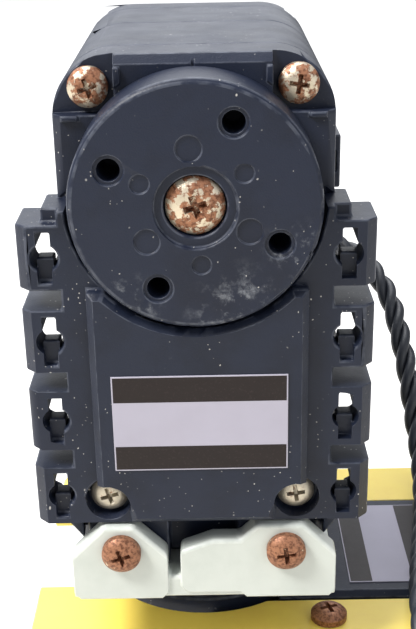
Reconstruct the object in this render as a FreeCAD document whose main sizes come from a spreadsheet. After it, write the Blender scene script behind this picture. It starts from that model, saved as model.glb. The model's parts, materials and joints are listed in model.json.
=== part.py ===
import FreeCAD, Part
import math
import os
import Sketcher

# Pan tilt camera mount: two alike servo units, one lying on its back under a plate (pan) and one
# standing on it in a foot bracket (tilt). Row frame: origin on the pan axis at the pan unit's back
# face, +Z up, the tilt horn faces -Y. Each unit is modelled in its own frame: X across, Y along the
# case towards the horn end, Z out of the front, origin on the output axis in the front flange face.

Vector = FreeCAD.Vector
Placement = FreeCAD.Placement
Rotation = FreeCAD.Rotation

SIZES = {
    # case outline and depth
    "case_half_width": 12.2,
    "head_half_width": 12.5,
    "head_radius": 5.5,
    "head_shoulder": 0.7,
    "head_bevel": 0.8,
    "case_top": 12.0,
    "case_bottom": 38.1,
    "case_corner": 1.6,
    "case_depth": 38.0,
    "head_recess": 3.7,
    "front_wall": 1.9,
    "seam_front": 9.1,
    "seam_middle": 23.1,
    "seam_rear": 34.0,
    "cavity_half_width": 11.0,
    "cavity_head_radius": 10.85,
    "cavity_front_bottom": 31.0,
    "cavity_rear_bottom": 32.5,
    "wall_front": 14.0,
    "wall_rear": 15.5,
    # flanges and their keyholes
    "flange_half_width": 16.0,
    "flange_depth": 5.9,
    "flange_bevel": 1.0,
    "flange_bottom": 32.0,
    "flange_pitch": 8.0,
    "flange_first": 5.0,
    "flange_block": 6.1,
    "shoulder_half_width": 13.7,
    "shoulder_recess": 1.2,
    "shoulder_top": 0.7,
    "flange_root": 0.4,
    "gusset_half_width": 14.1,
    "gusset_drop": 3.0,
    "gusset_step": 0.05,
    "keyhole_across": 27.0,
    "keyhole_radius": 1.25,
    "keyhole_slot_width": 1.3,
    "keyhole_slot_length": 4.7,
    "tongue_width": 1.5,
    "tongue_drop": 0.15,
    "tongue_front": 0.9,
    "tongue_depth": 1.7,
    "tongue_root": 0.1,
    # raised panel and its label plate
    "panel_half_width": 9.9,
    "panel_height": 1.5,
    "panel_top": 7.9,
    "panel_bottom": 31.4,
    "panel_scallop": 3.1,
    "panel_bevel": 0.6,
    "panel_cavity_half_width": 8.0,
    "panel_cavity_top": 14.5,
    "panel_wall": 2.1,
    "label_width": 16.1,
    "label_length": 9.65,
    "label_centre": 20.65,
    "label_thickness": 0.12,
    "lip_recess": 1.8,
    "lip_inner": 3.4,
    "lip_outer": 10.5,
    "lip_step": 0.2,
    "ridge_offset": 6.9,
    "ridge_width": 0.55,
    "ridge_height": 0.45,
    "ridge_start": 8.9,
    "ridge_margin": 1.0,
    "step_start": 10.1,
    "step_margin": 0.85,
    "mark_half_width": 0.12,
    "mark_length": 1.1,
    "mark_depth": 0.3,
    "pocket_depth": 1.2,
    # horn and output shaft
    "horn_radius": 11.0,
    "horn_gap": 0.5,
    "horn_front": 2.04,
    "horn_back": 3.6,
    "horn_bevel": 0.35,
    "horn_bolt_circle": 16.0,
    "horn_bolt_radius": 1.0,
    "horn_bolt_turn": 65.0,
    "horn_bolt_bevel": 0.3,
    "horn_well_radius": 2.75,
    "horn_well_depth": 1.7,
    "horn_ring_radius": 3.65,
    "horn_ring_depth": 0.45,
    "horn_bore_end": 0.6,
    "horn_screw_passage": 1.3,
    "dimple_circle": 10.3,
    "dimple_depth": 0.2,
    "dimple_large": 1.15,
    "dimple_small": 0.85,
    "notch_angle": -23.0,
    "notch_radius": 0.35,
    "notch_depth": 0.8,
    "shaft_radius": 2.95,
    "bushing_gap": 0.05,
    "bushing_radius": 4.0,
    "rear_shaft_radius": 1.9,
    "rear_shaft_end": 19.2,
    "bore_clearance": 0.06,
    # gear train: three 57 to 9 stages
    "wheel_teeth": 57.0,
    "pinion_teeth": 9.0,
    "module_last": 0.36,
    "module_middle": 0.32,
    "module_first": 0.28,
    "tooth_shift": 0.47,
    "tooth_backlash": 0.12,
    "tooth_height": 0.85,
    "last_wheel_front": 5.8,
    "last_wheel_back": 7.8,
    "middle_wheel_front": 8.5,
    "middle_wheel_back": 9.9,
    "first_wheel_front": 11.1,
    "first_wheel_back": 12.3,
    "pinion_front_step": 0.1,
    "pinion_back_step": 0.5,
    "motor_pinion_back": 13.2,
    "pin_radius": 0.8,
    "pin_clearance": 0.05,
    "pin_seat": 2.0,
    "pin_blind": 1.2,
    "hub_wall": 0.8,
    "first_hub_wall": 0.7,
    "pin_boss_radius": 2.0,
    "boss_gap": 0.4,
    "end_gap": 0.1,
    "first_pin_x": 2.6,
    "motor_x": -4.3,
    # motor, angle sensor and board
    "motor_radius": 6.0,
    "motor_front": 15.6,
    "motor_back": 31.6,
    "motor_boss_radius": 2.0,
    "motor_shaft_radius": 0.6,
    "motor_shaft_end": 20.0,
    "fit_gap": 0.15,
    "motor_nose_gap": 0.2,
    "thread_gap": 0.02,
    "shaft_end_gap": 0.05,
    "sensor_radius": 5.5,
    "sensor_front": 15.6,
    "sensor_back": 19.6,
    "board_front": 32.2,
    "board_back": 33.4,
    "board_half_width": 8.6,
    "board_top": 5.5,
    "board_bottom": 30.5,
    "socket_across": 10.0,
    "socket_centre": 20.0,
    "socket_width": 7.4,
    "socket_height": 4.9,
    "socket_wall": 0.7,
    "socket_end": 37.8,
    "socket_pin": 0.3,
    "socket_pitch": 2.0,
    "socket_floor": 0.8,
    "socket_pin_tip": 1.2,
    "socket_pin_root": 0.4,
    "window_gap": 0.2,
    # screws
    "screw_shank": 0.95,
    "screw_gap": 0.05,
    "screw_head": 1.8,
    "screw_head_height": 1.3,
    "screw_slot_width": 0.45,
    "screw_slot_length": 2.2,
    "screw_slot_depth": 0.7,
    "top_screw_offset": 9.2,
    "top_screw_end": 19.0,
    "low_screw_x": 9.0,
    "low_screw_y": 29.5,
    "low_screw_recess": 1.9,
    "low_screw_end": 13.8,
    "low_pillar_radius": 1.55,
    "web_half_width": 1.2,
    "web_root": 0.2,
    "low_sink_gap": 0.4,
    "rear_sink_gap": 0.3,
    "screw_tip_gap": 0.1,
    "rear_screw_y": 34.9,
    "rear_screw_recess": 1.4,
    "rear_screw_end": 26.0,
    "horn_screw_head": 2.6,
    "horn_screw_shank": 1.2,
    "horn_screw_head_height": 1.5,
    "horn_screw_end": 9.0,
    # foot bracket, held by two screws and nuts at each end
    "tab_thickness": 2.4,
    "tab_front": 0.6,
    "tab_outer": 12.9,
    "tab_inner": 3.55,
    "tab_rise": 5.8,
    "tab_drop": 2.5,
    "tab_chamfer": 3.2,
    "tab_corner": 0.7,
    "finger_end": 2.3,
    "finger_rise": 4.2,
    "finger_side": 0.9,
    "finger_tip_rise": 3.0,
    "finger_drop": 1.8,
    "bracket_floor": 2.4,
    "bracket_gap": 0.02,
    "bracket_inset": 0.3,
    "bracket_lip_gap": 0.3,
    "bracket_offset": 0.05,
    "foot_screw_across": 16.0,
    "foot_screw_rise": 3.1,
    "foot_screw_head_height": 1.35,
    "foot_screw_head": 1.9,
    "foot_screw_length": 8.0,
    "rear_foot_screw_length": 4.4,
    "nut_radius": 2.25,
    "nut_thickness": 1.6,
    "nut_depth": 6.0,
    "nut_gap": 0.1,
    "plate_nut_gap": 0.05,
    # riser between the pan horn and the bracket
    "riser_height": 6.04,
    "riser_well": 4.0,
    "riser_screw_length": 11.4,
    "riser_screw_sink": 1.2,
    "riser_sink_gap": 0.05,
    # plate on the pan unit's front flanges
    "plate_thickness": 1.0,
    "plate_left": 18.5,
    "plate_right": 44.0,
    "plate_half_width": 18.5,
    "plate_corner": 2.0,
    "plate_eye_radius": 12.2,
    "plate_slot_half": 7.0,
    "plate_window_half": 10.3,
    "plate_window_right": 32.4,
    "plate_bolt_x": 41.0,
    "plate_bolt_across": 26.0,
    "plate_bolt_radius": 1.6,
    "plate_screw_near": 13.0,
    "plate_screw_far": 29.0,
    "plate_screw_tip": 0.6,
    # lead and its plugs
    "lead_diameter": 2.8,
    "lead_split_height": 50.0,
    "plug_width": 5.8,
    "plug_height": 3.3,
    "plug_length": 7.0,
    "plug_inset": 3.0,
    "plug_pin_half": 0.4,
    "plug_hole_start": 2.5,
}

# Fused pieces run this far into each other, and cutting tools this far past what they cut.
OVERLAP = 0.5
PAST = 1

# The lead's route in the row frame, from the tilt unit's plug to the loose plug on the ground.
LEAD_ROUTE = [
    (5.0, 22.95, 66.6),
    (5.0, 28.3, 66.6),
    (7.6, 33.1, 66.5),
    (12.2, 36.0, 65.9),
    (17.6, 36.3, 64.6),
    (22.1, 33.8, 62.4),
    (24.7, 29.4, 59.3),
    (25.6, 24.6, 55.4),
    (26.3, 20.5, 50.9),
    (26.8, 16.9, 46.2),
    (27.0, 12.0, 42.9),
    (26.4, 6.2, 41.5),
    (25.0, -1.5, 41.3),
    (23.5, -9.0, 41.8),
    (22.3, -16.0, 42.8),
    (21.6, -22.8, 42.4),
    (20.8, -28.4, 38.6),
    (19.7, -31.4, 32.4),
    (18.1, -32.0, 25.2),
    (15.8, -31.6, 17.8),
    (12.2, -31.8, 10.8),
    (6.6, -32.8, 5.4),
    (-0.4, -34.0, 2.7),
    (-7.6, -34.6, 1.65),
    (-14.4, -34.6, 1.65),
]


class Size:
    """A length or angle kept as a sheet formula together with its present value."""

    def __init__(self, formula, value):
        self.formula = formula
        self.value = float(value)

    def __add__(self, other):
        other = sized(other)
        return Size(f"({self.formula} + {other.formula})", self.value + other.value)

    def __sub__(self, other):
        other = sized(other)
        return Size(f"({self.formula} - {other.formula})", self.value - other.value)

    def __mul__(self, other):
        other = sized(other)
        return Size(f"({self.formula} * {other.formula})", self.value * other.value)

    def __truediv__(self, other):
        other = sized(other)
        return Size(f"({self.formula} / {other.formula})", self.value / other.value)

    def __neg__(self):
        return Size(f"(0 - {self.formula})", -self.value)

    def __radd__(self, other):
        return sized(other) + self

    def __rsub__(self, other):
        return sized(other) - self

    def __rmul__(self, other):
        return sized(other) * self


def sized(value):
    """Any plain number as a Size."""
    if isinstance(value, Size):
        return value
    return Size(f"{value:.6f}", value)


def root(size):
    """The square root of a size."""
    return Size(f"sqrt({size.formula})", math.sqrt(size.value))


def cosine(angle):
    """The cosine of an angle in degrees."""
    return Size(f"cos({angle.formula} * 1 deg)", math.cos(math.radians(angle.value)))


def sine(angle):
    """The sine of an angle in degrees."""
    return Size(f"sin({angle.formula} * 1 deg)", math.sin(math.radians(angle.value)))


doc = FreeCAD.newDocument("pan_tilt_camera_mount")
sheet = doc.addObject("Spreadsheet::Sheet", "sizes")


class Sheet:
    """The driving sizes, by name."""

    def __getattr__(self, name):
        return Size(f"sizes.{name}", float(sheet.get(name)))


for line, (alias, number) in enumerate(SIZES.items(), 1):
    sheet.set(f"A{line}", alias)
    sheet.set(f"B{line}", f"{number}")
    sheet.setAlias(f"B{line}", alias)
doc.recompute()
size = Sheet()

# Heights of the foot bracket's features below the output axis.
TAB_TOP = size.case_bottom - size.tab_rise
TAB_BOTTOM = size.case_bottom + size.tab_drop
FINGER_TOP = size.case_bottom - size.finger_rise
FINGER_TIP_TOP = size.case_bottom - size.finger_tip_rise
FINGER_BOTTOM = size.case_bottom + size.finger_drop
FOOT_SCREW_Y = size.case_bottom - size.foot_screw_rise

# Radii of holes that take a screw's shank or the output shaft.
SCREW_HOLE = size.screw_shank + size.screw_gap
BUSHING_BORE = size.shaft_radius + size.bushing_gap
nodes = []


# ---- small makers -------------------------------------------------------------------------------


def bind(item, prop, value):
    """Ties a property to the sheet."""
    item.setExpression(prop, sized(value).formula)


def place(item, x, y, z):
    """Ties an object's position to the sheet."""
    bind(item, "Placement.Base.x", x)
    bind(item, "Placement.Base.y", y)
    bind(item, "Placement.Base.z", z)


def box(name, x, y, z):
    """A box between two limits on each axis."""
    item = doc.addObject("Part::Box", name)
    bind(item, "Length", x[1] - sized(x[0]))
    bind(item, "Width", y[1] - sized(y[0]))
    bind(item, "Height", z[1] - sized(z[0]))
    place(item, x[0], y[0], z[0])
    return item


def rod(name, radius, z, at=(0, 0)):
    """A cylinder along Z from z[0] to z[1]."""
    item = doc.addObject("Part::Cylinder", name)
    bind(item, "Radius", radius)
    bind(item, "Height", z[1] - sized(z[0]))
    place(item, at[0], at[1], z[0])
    return item


def cone(name, low_radius, high_radius, z, at=(0, 0)):
    """An upright cone frustum from z[0] to z[1]."""
    item = doc.addObject("Part::Cone", name)
    bind(item, "Radius1", low_radius)
    bind(item, "Radius2", high_radius)
    bind(item, "Height", z[1] - sized(z[0]))
    place(item, at[0], at[1], z[0])
    return item


def fuse(name, *items):
    """The union of several objects."""
    item = doc.addObject("Part::MultiFuse", name)
    item.Shapes = list(items)
    item.Refine = True
    return item


def cut(name, base, *tools):
    """The base with every tool taken away."""
    item = doc.addObject("Part::Cut", name)
    item.Base = base
    item.Tool = tools[0] if len(tools) == 1 else fuse(f"{name}_tools", *tools)
    item.Refine = True
    return item


def group(name, *items):
    """Separate solids kept as one object."""
    item = doc.addObject("Part::Compound", name)
    item.Links = list(items)
    return item


def node(item, label, placement=None):
    """Names a finished sub-part and puts it in its place."""
    if placement is not None:
        if item.TypeId in ("Part::Box", "Part::Cylinder", "Part::Feature"):
            item.Label = f"{label}_piece"
            item = group(f"{label}_in_unit", item)
        item.Placement = placement
    item.Label = label
    nodes.append(item)
    return item


def mirrored_x(maker):
    """Calls maker for the right side and the left side."""
    return [maker(side) for side in (1, -1)]


def between(a, b):
    """Two limits in rising order."""
    a, b = sized(a), sized(b)
    return (a, b) if a.value <= b.value else (b, a)


# ---- sketches and pads --------------------------------------------------------------------------


def new_body(name):
    """An empty PartDesign body."""
    return doc.addObject("PartDesign::Body", name)


def new_sketch(body, name, height):
    """A sketch parallel to the body's XY plane at a height."""
    sketch = body.newObject("Sketcher::SketchObject", name)
    plane = [f for f in body.Origin.OriginFeatures if f.Role == "XY_Plane"][0]
    sketch.AttachmentSupport = (plane, [""])
    sketch.MapMode = "FlatFace"
    bind(sketch, "AttachmentOffset.Base.z", height)
    return sketch


def pin_point(sketch, index, end, x, y):
    """Fixes one end of a curve at sheet-driven coordinates."""
    for kind, value in (("DistanceX", sized(x)), ("DistanceY", sized(y))):
        number = sketch.addConstraint(Sketcher.Constraint(kind, -1, 1, index, end, value.value))
        bind(sketch, f"Constraints[{number}]", value)


def draw_circle(sketch, x, y, radius):
    """A circle with its centre and radius tied to the sheet."""
    x, y, radius = sized(x), sized(y), sized(radius)
    centre = Vector(x.value, y.value, 0)
    index = sketch.addGeometry(Part.Circle(centre, Vector(0, 0, 1), radius.value))
    pin_point(sketch, index, 3, x, y)
    number = sketch.addConstraint(Sketcher.Constraint("Radius", index, radius.value))
    bind(sketch, f"Constraints[{number}]", radius)


def arc_through(start, end, radius):
    """The anticlockwise arc of under a half turn from start to end."""
    chord = end - start
    middle = (start + end) * 0.5
    rise = math.sqrt(radius * radius - chord.Length * chord.Length / 4)
    left = Vector(-chord.y, chord.x, 0).normalize()
    centre = middle + left * rise
    first = math.atan2(start.y - centre.y, start.x - centre.x)
    last = math.atan2(end.y - centre.y, end.x - centre.x)
    return Part.ArcOfCircle(Part.Circle(centre, Vector(0, 0, 1), radius), first, last)


def draw_outline(sketch, path):
    """A closed outline. Each corner is (x, y) or (x, y, radius): the radius makes the stretch that
    arrives there an anticlockwise arc."""
    corners = [(sized(c[0]), sized(c[1]), sized(c[2]) if len(c) > 2 else None) for c in path]
    spots = [Vector(c[0].value, c[1].value, 0) for c in corners]
    count = len(corners)
    for index in range(count):
        start, end = spots[index - 1], spots[index]
        radius = corners[index][2]
        if radius is None:
            sketch.addGeometry(Part.LineSegment(start, end))
        else:
            sketch.addGeometry(arc_through(start, end, radius.value))
    for index in range(count):
        joint = Sketcher.Constraint("Coincident", index, 2, (index + 1) % count, 1)
        sketch.addConstraint(joint)
        pin_point(sketch, index, 2, corners[index][0], corners[index][1])
        if corners[index][2] is not None:
            held = Sketcher.Constraint("Radius", index, corners[index][2].value)
            bind(sketch, f"Constraints[{sketch.addConstraint(held)}]", corners[index][2])


def pad(body, sketch, length):
    """Raises a sketch by a length."""
    item = body.newObject("PartDesign::Pad", f"{sketch.Name}_pad")
    item.Profile = sketch
    bind(item, "Length", length)
    sketch.Visibility = False
    return item


def pocket(body, sketch, length):
    """Sinks a sketch by a length, down from its plane."""
    item = body.newObject("PartDesign::Pocket", f"{sketch.Name}_pocket")
    item.Profile = sketch
    bind(item, "Length", length)
    return item


def polar(body, feature, count):
    """Repeats a feature round the body's Z axis."""
    item = body.newObject("PartDesign::PolarPattern", f"{feature.Name}_ring")
    item.Originals = [feature]
    axis = [f for f in body.Origin.OriginFeatures if f.Role == "Z_Axis"][0]
    item.Axis = (axis, [""])
    item.Angle = 360
    item.Occurrences = count
    body.Tip = item
    return item


def top_face(feature):
    """The name of the highest flat face that looks up."""
    doc.recompute()
    faces = enumerate(feature.Shape.Faces, 1)
    flat = [(f.CenterOfMass.z, n) for n, f in faces if f.normalAt(0, 0).z > 0.999]
    return f"Face{max(flat)[1]}"


def bevel_top(body, feature, width):
    """Bevels every edge of a body's top face."""
    item = body.newObject("PartDesign::Chamfer", f"{feature.Name}_bevel")
    item.Base = (feature, [top_face(feature)])
    bind(item, "Size", width)
    return item


def prism(name, path, z, bevel=None):
    """A body raised from an outline, from z[0] to z[1], with an optional bevel round its top."""
    body = new_body(name)
    sketch = new_sketch(body, f"{name}_outline", z[0])
    draw_outline(sketch, path)
    feature = pad(body, sketch, z[1] - sized(z[0]))
    if bevel is not None:
        bevel_top(body, feature, bevel)
    return body


# ---- screws and nuts ----------------------------------------------------------------------------


def pan_screw(name, at, under_head, end, head, head_height, shank, facing=1):
    """A cross-slotted pan head screw along Z. facing is +1 when its head looks along +Z."""
    top = under_head + facing * head_height
    slot_floor = top - facing * size.screw_slot_depth
    body = fuse(
        f"{name}_blank",
        rod(f"{name}_head", head, between(under_head, top), at),
        rod(f"{name}_shank", shank, between(under_head, end), at),
    )
    half_long = size.screw_slot_length / 2
    half_wide = size.screw_slot_width / 2
    depth = between(slot_floor, top + facing)
    x, y = sized(at[0]), sized(at[1])
    return cut(
        name,
        body,
        box(f"{name}_slot_a", (x - half_long, x + half_long), (y - half_wide, y + half_wide), depth),
        box(f"{name}_slot_b", (x - half_wide, x + half_wide), (y - half_long, y + half_long), depth),
    )


def hexagon(name, radius, z, at, turn=30):
    """A hexagonal bar along Z. A turn of 30 degrees sets a flat towards X, and 0 towards Y."""
    item = doc.addObject("Part::Prism", name)
    item.Polygon = 6
    item.Placement = Placement(Vector(0, 0, 0), Rotation(Vector(0, 0, 1), turn))
    bind(item, "Circumradius", radius)
    bind(item, "Height", z[1] - sized(z[0]))
    place(item, at[0], at[1], z[0])
    return item


def nut(name, at, z, turn=30):
    """A hexagon nut with its hole for the shank of an M2 screw."""
    bar = hexagon(f"{name}_hexagon", size.nut_radius, z, at, turn)
    return cut(name, bar, rod(f"{name}_hole", SCREW_HOLE, (z[0] - PAST, z[1] + PAST), at))


# ---- gears --------------------------------------------------------------------------------------


PRESSURE_ANGLE = 20
FOOT_DEPTH = 1.25


def involute_point(base, radius, side, turn):
    """A point of an involute flank at a radius, mirrored by side and turned."""
    roll = math.sqrt(max((radius / base) ** 2 - 1, 0.0))
    angle = roll - math.atan(roll)
    return Vector(
        radius * math.cos(turn + side * angle),
        radius * math.sin(turn + side * angle),
        0,
    )


def toothed_disc(teeth, module, shift, phase, z):
    """A spur gear blank with involute flanks; a tooth is centred at the phase angle in radians."""
    pressure = math.radians(PRESSURE_ANGLE)
    pitch = module * teeth / 2
    base = pitch * math.cos(pressure)
    tip = module * (teeth / 2 + size.tooth_height.value + shift)
    foot = module * (teeth / 2 - FOOT_DEPTH + shift)
    low = max(base, foot)
    flank = math.pi / 2 + 2 * shift * math.tan(pressure) - size.tooth_backlash.value
    thickness = module * flank
    half = thickness / (2 * pitch) + math.tan(pressure) - pressure
    edges = []
    last = None
    for index in range(int(teeth)):
        turn = phase + 2 * math.pi * index / teeth
        right = [involute_point(base, r, 1, turn - half) for r in (low, (low + tip) / 2, tip)]
        left = [involute_point(base, r, -1, turn + half) for r in (tip, (low + tip) / 2, low)]
        if foot < low:
            right.insert(0, Vector(right[0]) * (foot / low))
            left.append(Vector(left[-1]) * (foot / low))
        if last is not None:
            edges.append(Part.LineSegment(last, right[0]).toShape())
        if foot < low:
            edges.append(Part.LineSegment(right[0], right[1]).toShape())
        edges.append(Part.Arc(*right[-3:]).toShape())
        edges.append(Part.LineSegment(right[-1], left[0]).toShape())
        edges.append(Part.Arc(*left[:3]).toShape())
        if foot < low:
            edges.append(Part.LineSegment(left[2], left[3]).toShape())
        last = left[-1]
        if index == 0:
            first = right[0]
    edges.append(Part.LineSegment(last, first).toShape())
    face = Part.Face(Part.Wire(edges))
    face.translate(Vector(0, 0, z[0]))
    return face.extrude(Vector(0, 0, z[1] - z[0]))


def drum(radius, z):
    """A plain cylinder shape round the Z axis."""
    return Part.makeCylinder(radius, z[1] - z[0], Vector(0, 0, z[0]))


def feature(name, shape, at=(0, 0)):
    """A shape made by Part's own functions, at a place in its unit's plan."""
    item = doc.addObject("Part::Feature", name)
    shape.translate(Vector(at[0], at[1], 0))
    item.Shape = shape
    return item


def direction(a, b):
    """The angle in radians from point a to point b."""
    return math.atan2(b[1] - a[1], b[0] - a[0])


def mesh_phase(phase, teeth, heading, other_teeth):
    """The phase that puts a gear in mesh with one at the given phase, seen along the heading."""
    pitch = 2 * math.pi / teeth
    offset = (heading - phase) % pitch
    return heading + math.pi + offset * teeth / other_teeth + math.pi / other_teeth


# ---- one servo unit -----------------------------------------------------------------------------

MIDDLE_PIN = (sized(0), -size.module_last * (size.wheel_teeth + size.pinion_teeth) / 2)
STEP_MIDDLE = size.module_middle * (size.wheel_teeth + size.pinion_teeth) / 2
FIRST_PIN = (
    size.first_pin_x,
    MIDDLE_PIN[1] - root(STEP_MIDDLE * STEP_MIDDLE - size.first_pin_x * size.first_pin_x),
)
STEP_FIRST = size.module_first * (size.wheel_teeth + size.pinion_teeth) / 2
MOTOR_RUN = size.first_pin_x - size.motor_x
MOTOR = (size.motor_x, FIRST_PIN[1] - root(STEP_FIRST * STEP_FIRST - MOTOR_RUN * MOTOR_RUN))


def case_outline():
    """The case seen from the front, without its flanges."""
    wide, head, radius = size.case_half_width, size.head_half_width, size.head_radius
    foot = wide - size.case_corner
    low = -size.case_bottom
    bend = low + size.case_corner
    step = -size.head_shoulder
    return [
        (-foot, low),
        (foot, low),
        (wide, bend),
        (wide, step),
        (head, step),
        (head, size.case_top - radius),
        (head - radius, size.case_top, radius),
        (radius - head, size.case_top),
        (-head, size.case_top - radius, radius),
        (-head, step),
        (-wide, step),
        (-wide, bend),
    ]


def corner_holes(name, radius, z):
    """The two holes for the long screws at the head end."""
    offset = size.top_screw_offset
    return mirrored_x(lambda side: rod(f"{name}_{side}", radius, z, (side * offset, offset)))


def low_holes(name, radius, z):
    """The two holes for the short screws at the lower end."""
    x, y = size.low_screw_x, -size.low_screw_y
    return mirrored_x(lambda side: rod(f"{name}_{side}", radius, z, (side * x, y)))


def foot_holes(name, radius, z):
    """The two holes for the foot screws."""
    x, y = size.foot_screw_across / 2, -FOOT_SCREW_Y
    return mirrored_x(lambda side: rod(f"{name}_{side}", radius, z, (side * x, y)))


def cavity(name, bottom, z):
    """The inner room of a case shell: round at the horn end, straight below."""
    half = size.cavity_half_width
    return fuse(
        name,
        rod(f"{name}_round", size.cavity_head_radius, z),
        box(f"{name}_straight", (-half, half), (-bottom, sized(0)), z),
    )


def sunk_span(z, depth, outer):
    """The span z with its outer face moved in by a depth. outer is 1 when that face looks forward."""
    low, high = z
    return (low, high - depth) if outer > 0 else (low + depth, high)


def flange_parts(name, outer, z):
    """Blocks on both sides with their shoulder and gusset. outer is 1 on the front shell and -1 on
    the rear cover. Returns the list of objects."""
    inner = size.case_half_width - size.flange_root
    parts = []
    for side in (1, -1):
        tag = f"{name}_{'r' if side > 0 else 'l'}"
        reach = between(side * inner, side * size.flange_half_width)
        for row in range(4):
            middle = -(size.flange_first + row * size.flange_pitch)
            half = size.flange_block / 2
            parts.append(box(f"{tag}_block_{row}", reach, (middle - half, middle + half), z))
        shoulder = between(side * inner, side * size.shoulder_half_width)
        recess = sunk_span(z, size.shoulder_recess, outer)
        parts.append(
            box(f"{tag}_shoulder", shoulder, (-size.flange_first, -size.shoulder_top), recess)
        )
        path = [
            (side * inner, OVERLAP - size.flange_bottom),
            (side * inner, -size.flange_bottom - size.gusset_drop),
            (side * size.gusset_half_width, size.gusset_step - size.flange_bottom),
            (side * size.gusset_half_width, OVERLAP - size.flange_bottom),
        ]
        sunk = sunk_span(z, size.lip_recess, outer)
        parts.append(prism(f"{tag}_gusset", path, sunk))
    return parts


def flange_cuts(name, face, z, nut_span):
    """The bevel along each outer edge, the keyholes and the nut seats behind them. face is the z of
    the flange's face."""
    tools = []
    for side in (1, -1):
        tag = f"{name}_{'r' if side > 0 else 'l'}"
        bevel = doc.addObject("Part::Box", f"{tag}_bevel")
        bevel.Placement = Placement(Vector(0, 0, 0), Rotation(Vector(0, 1, 0), 45))
        bind(bevel, "Length", root(size.flange_bevel * size.flange_bevel * 2))
        bind(bevel, "Height", root(size.flange_bevel * size.flange_bevel * 2))
        bind(bevel, "Width", size.flange_bottom + PAST)
        edge = side * size.flange_half_width - size.flange_bevel
        place(bevel, edge, -size.flange_bottom - PAST, face)
        tools.append(bevel)
        x = side * size.keyhole_across / 2
        for row in range(4):
            y = -(size.flange_first + row * size.flange_pitch)
            wide, tall = size.keyhole_slot_width / 2, size.keyhole_slot_length / 2
            tools.append(rod(f"{tag}_eye_{row}", size.keyhole_radius, z, (x, y)))
            tools.append(box(f"{tag}_slot_{row}", (x - wide, x + wide), (y - tall, y + tall), z))
            tools.append(hexagon(f"{tag}_seat_{row}", size.nut_radius + size.nut_gap, nut_span, (x, y)))
    return tools


def tongues(name, front, back, rows):
    """The small catch inside the lower half of each keyhole that no screw uses."""
    parts = []
    for side in (1, -1):
        x = side * size.keyhole_across / 2
        for row in rows:
            y = -(size.flange_first + row * size.flange_pitch)
            wide = size.tongue_width / 2
            tall = size.keyhole_slot_length / 2
            parts.append(
                box(
                    f"{name}_{'r' if side > 0 else 'l'}_{row}",
                    (x - wide, x + wide),
                    (y - tall - size.tongue_root, y - size.tongue_drop),
                    (-back, -front),
                )
            )
    return parts


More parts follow.
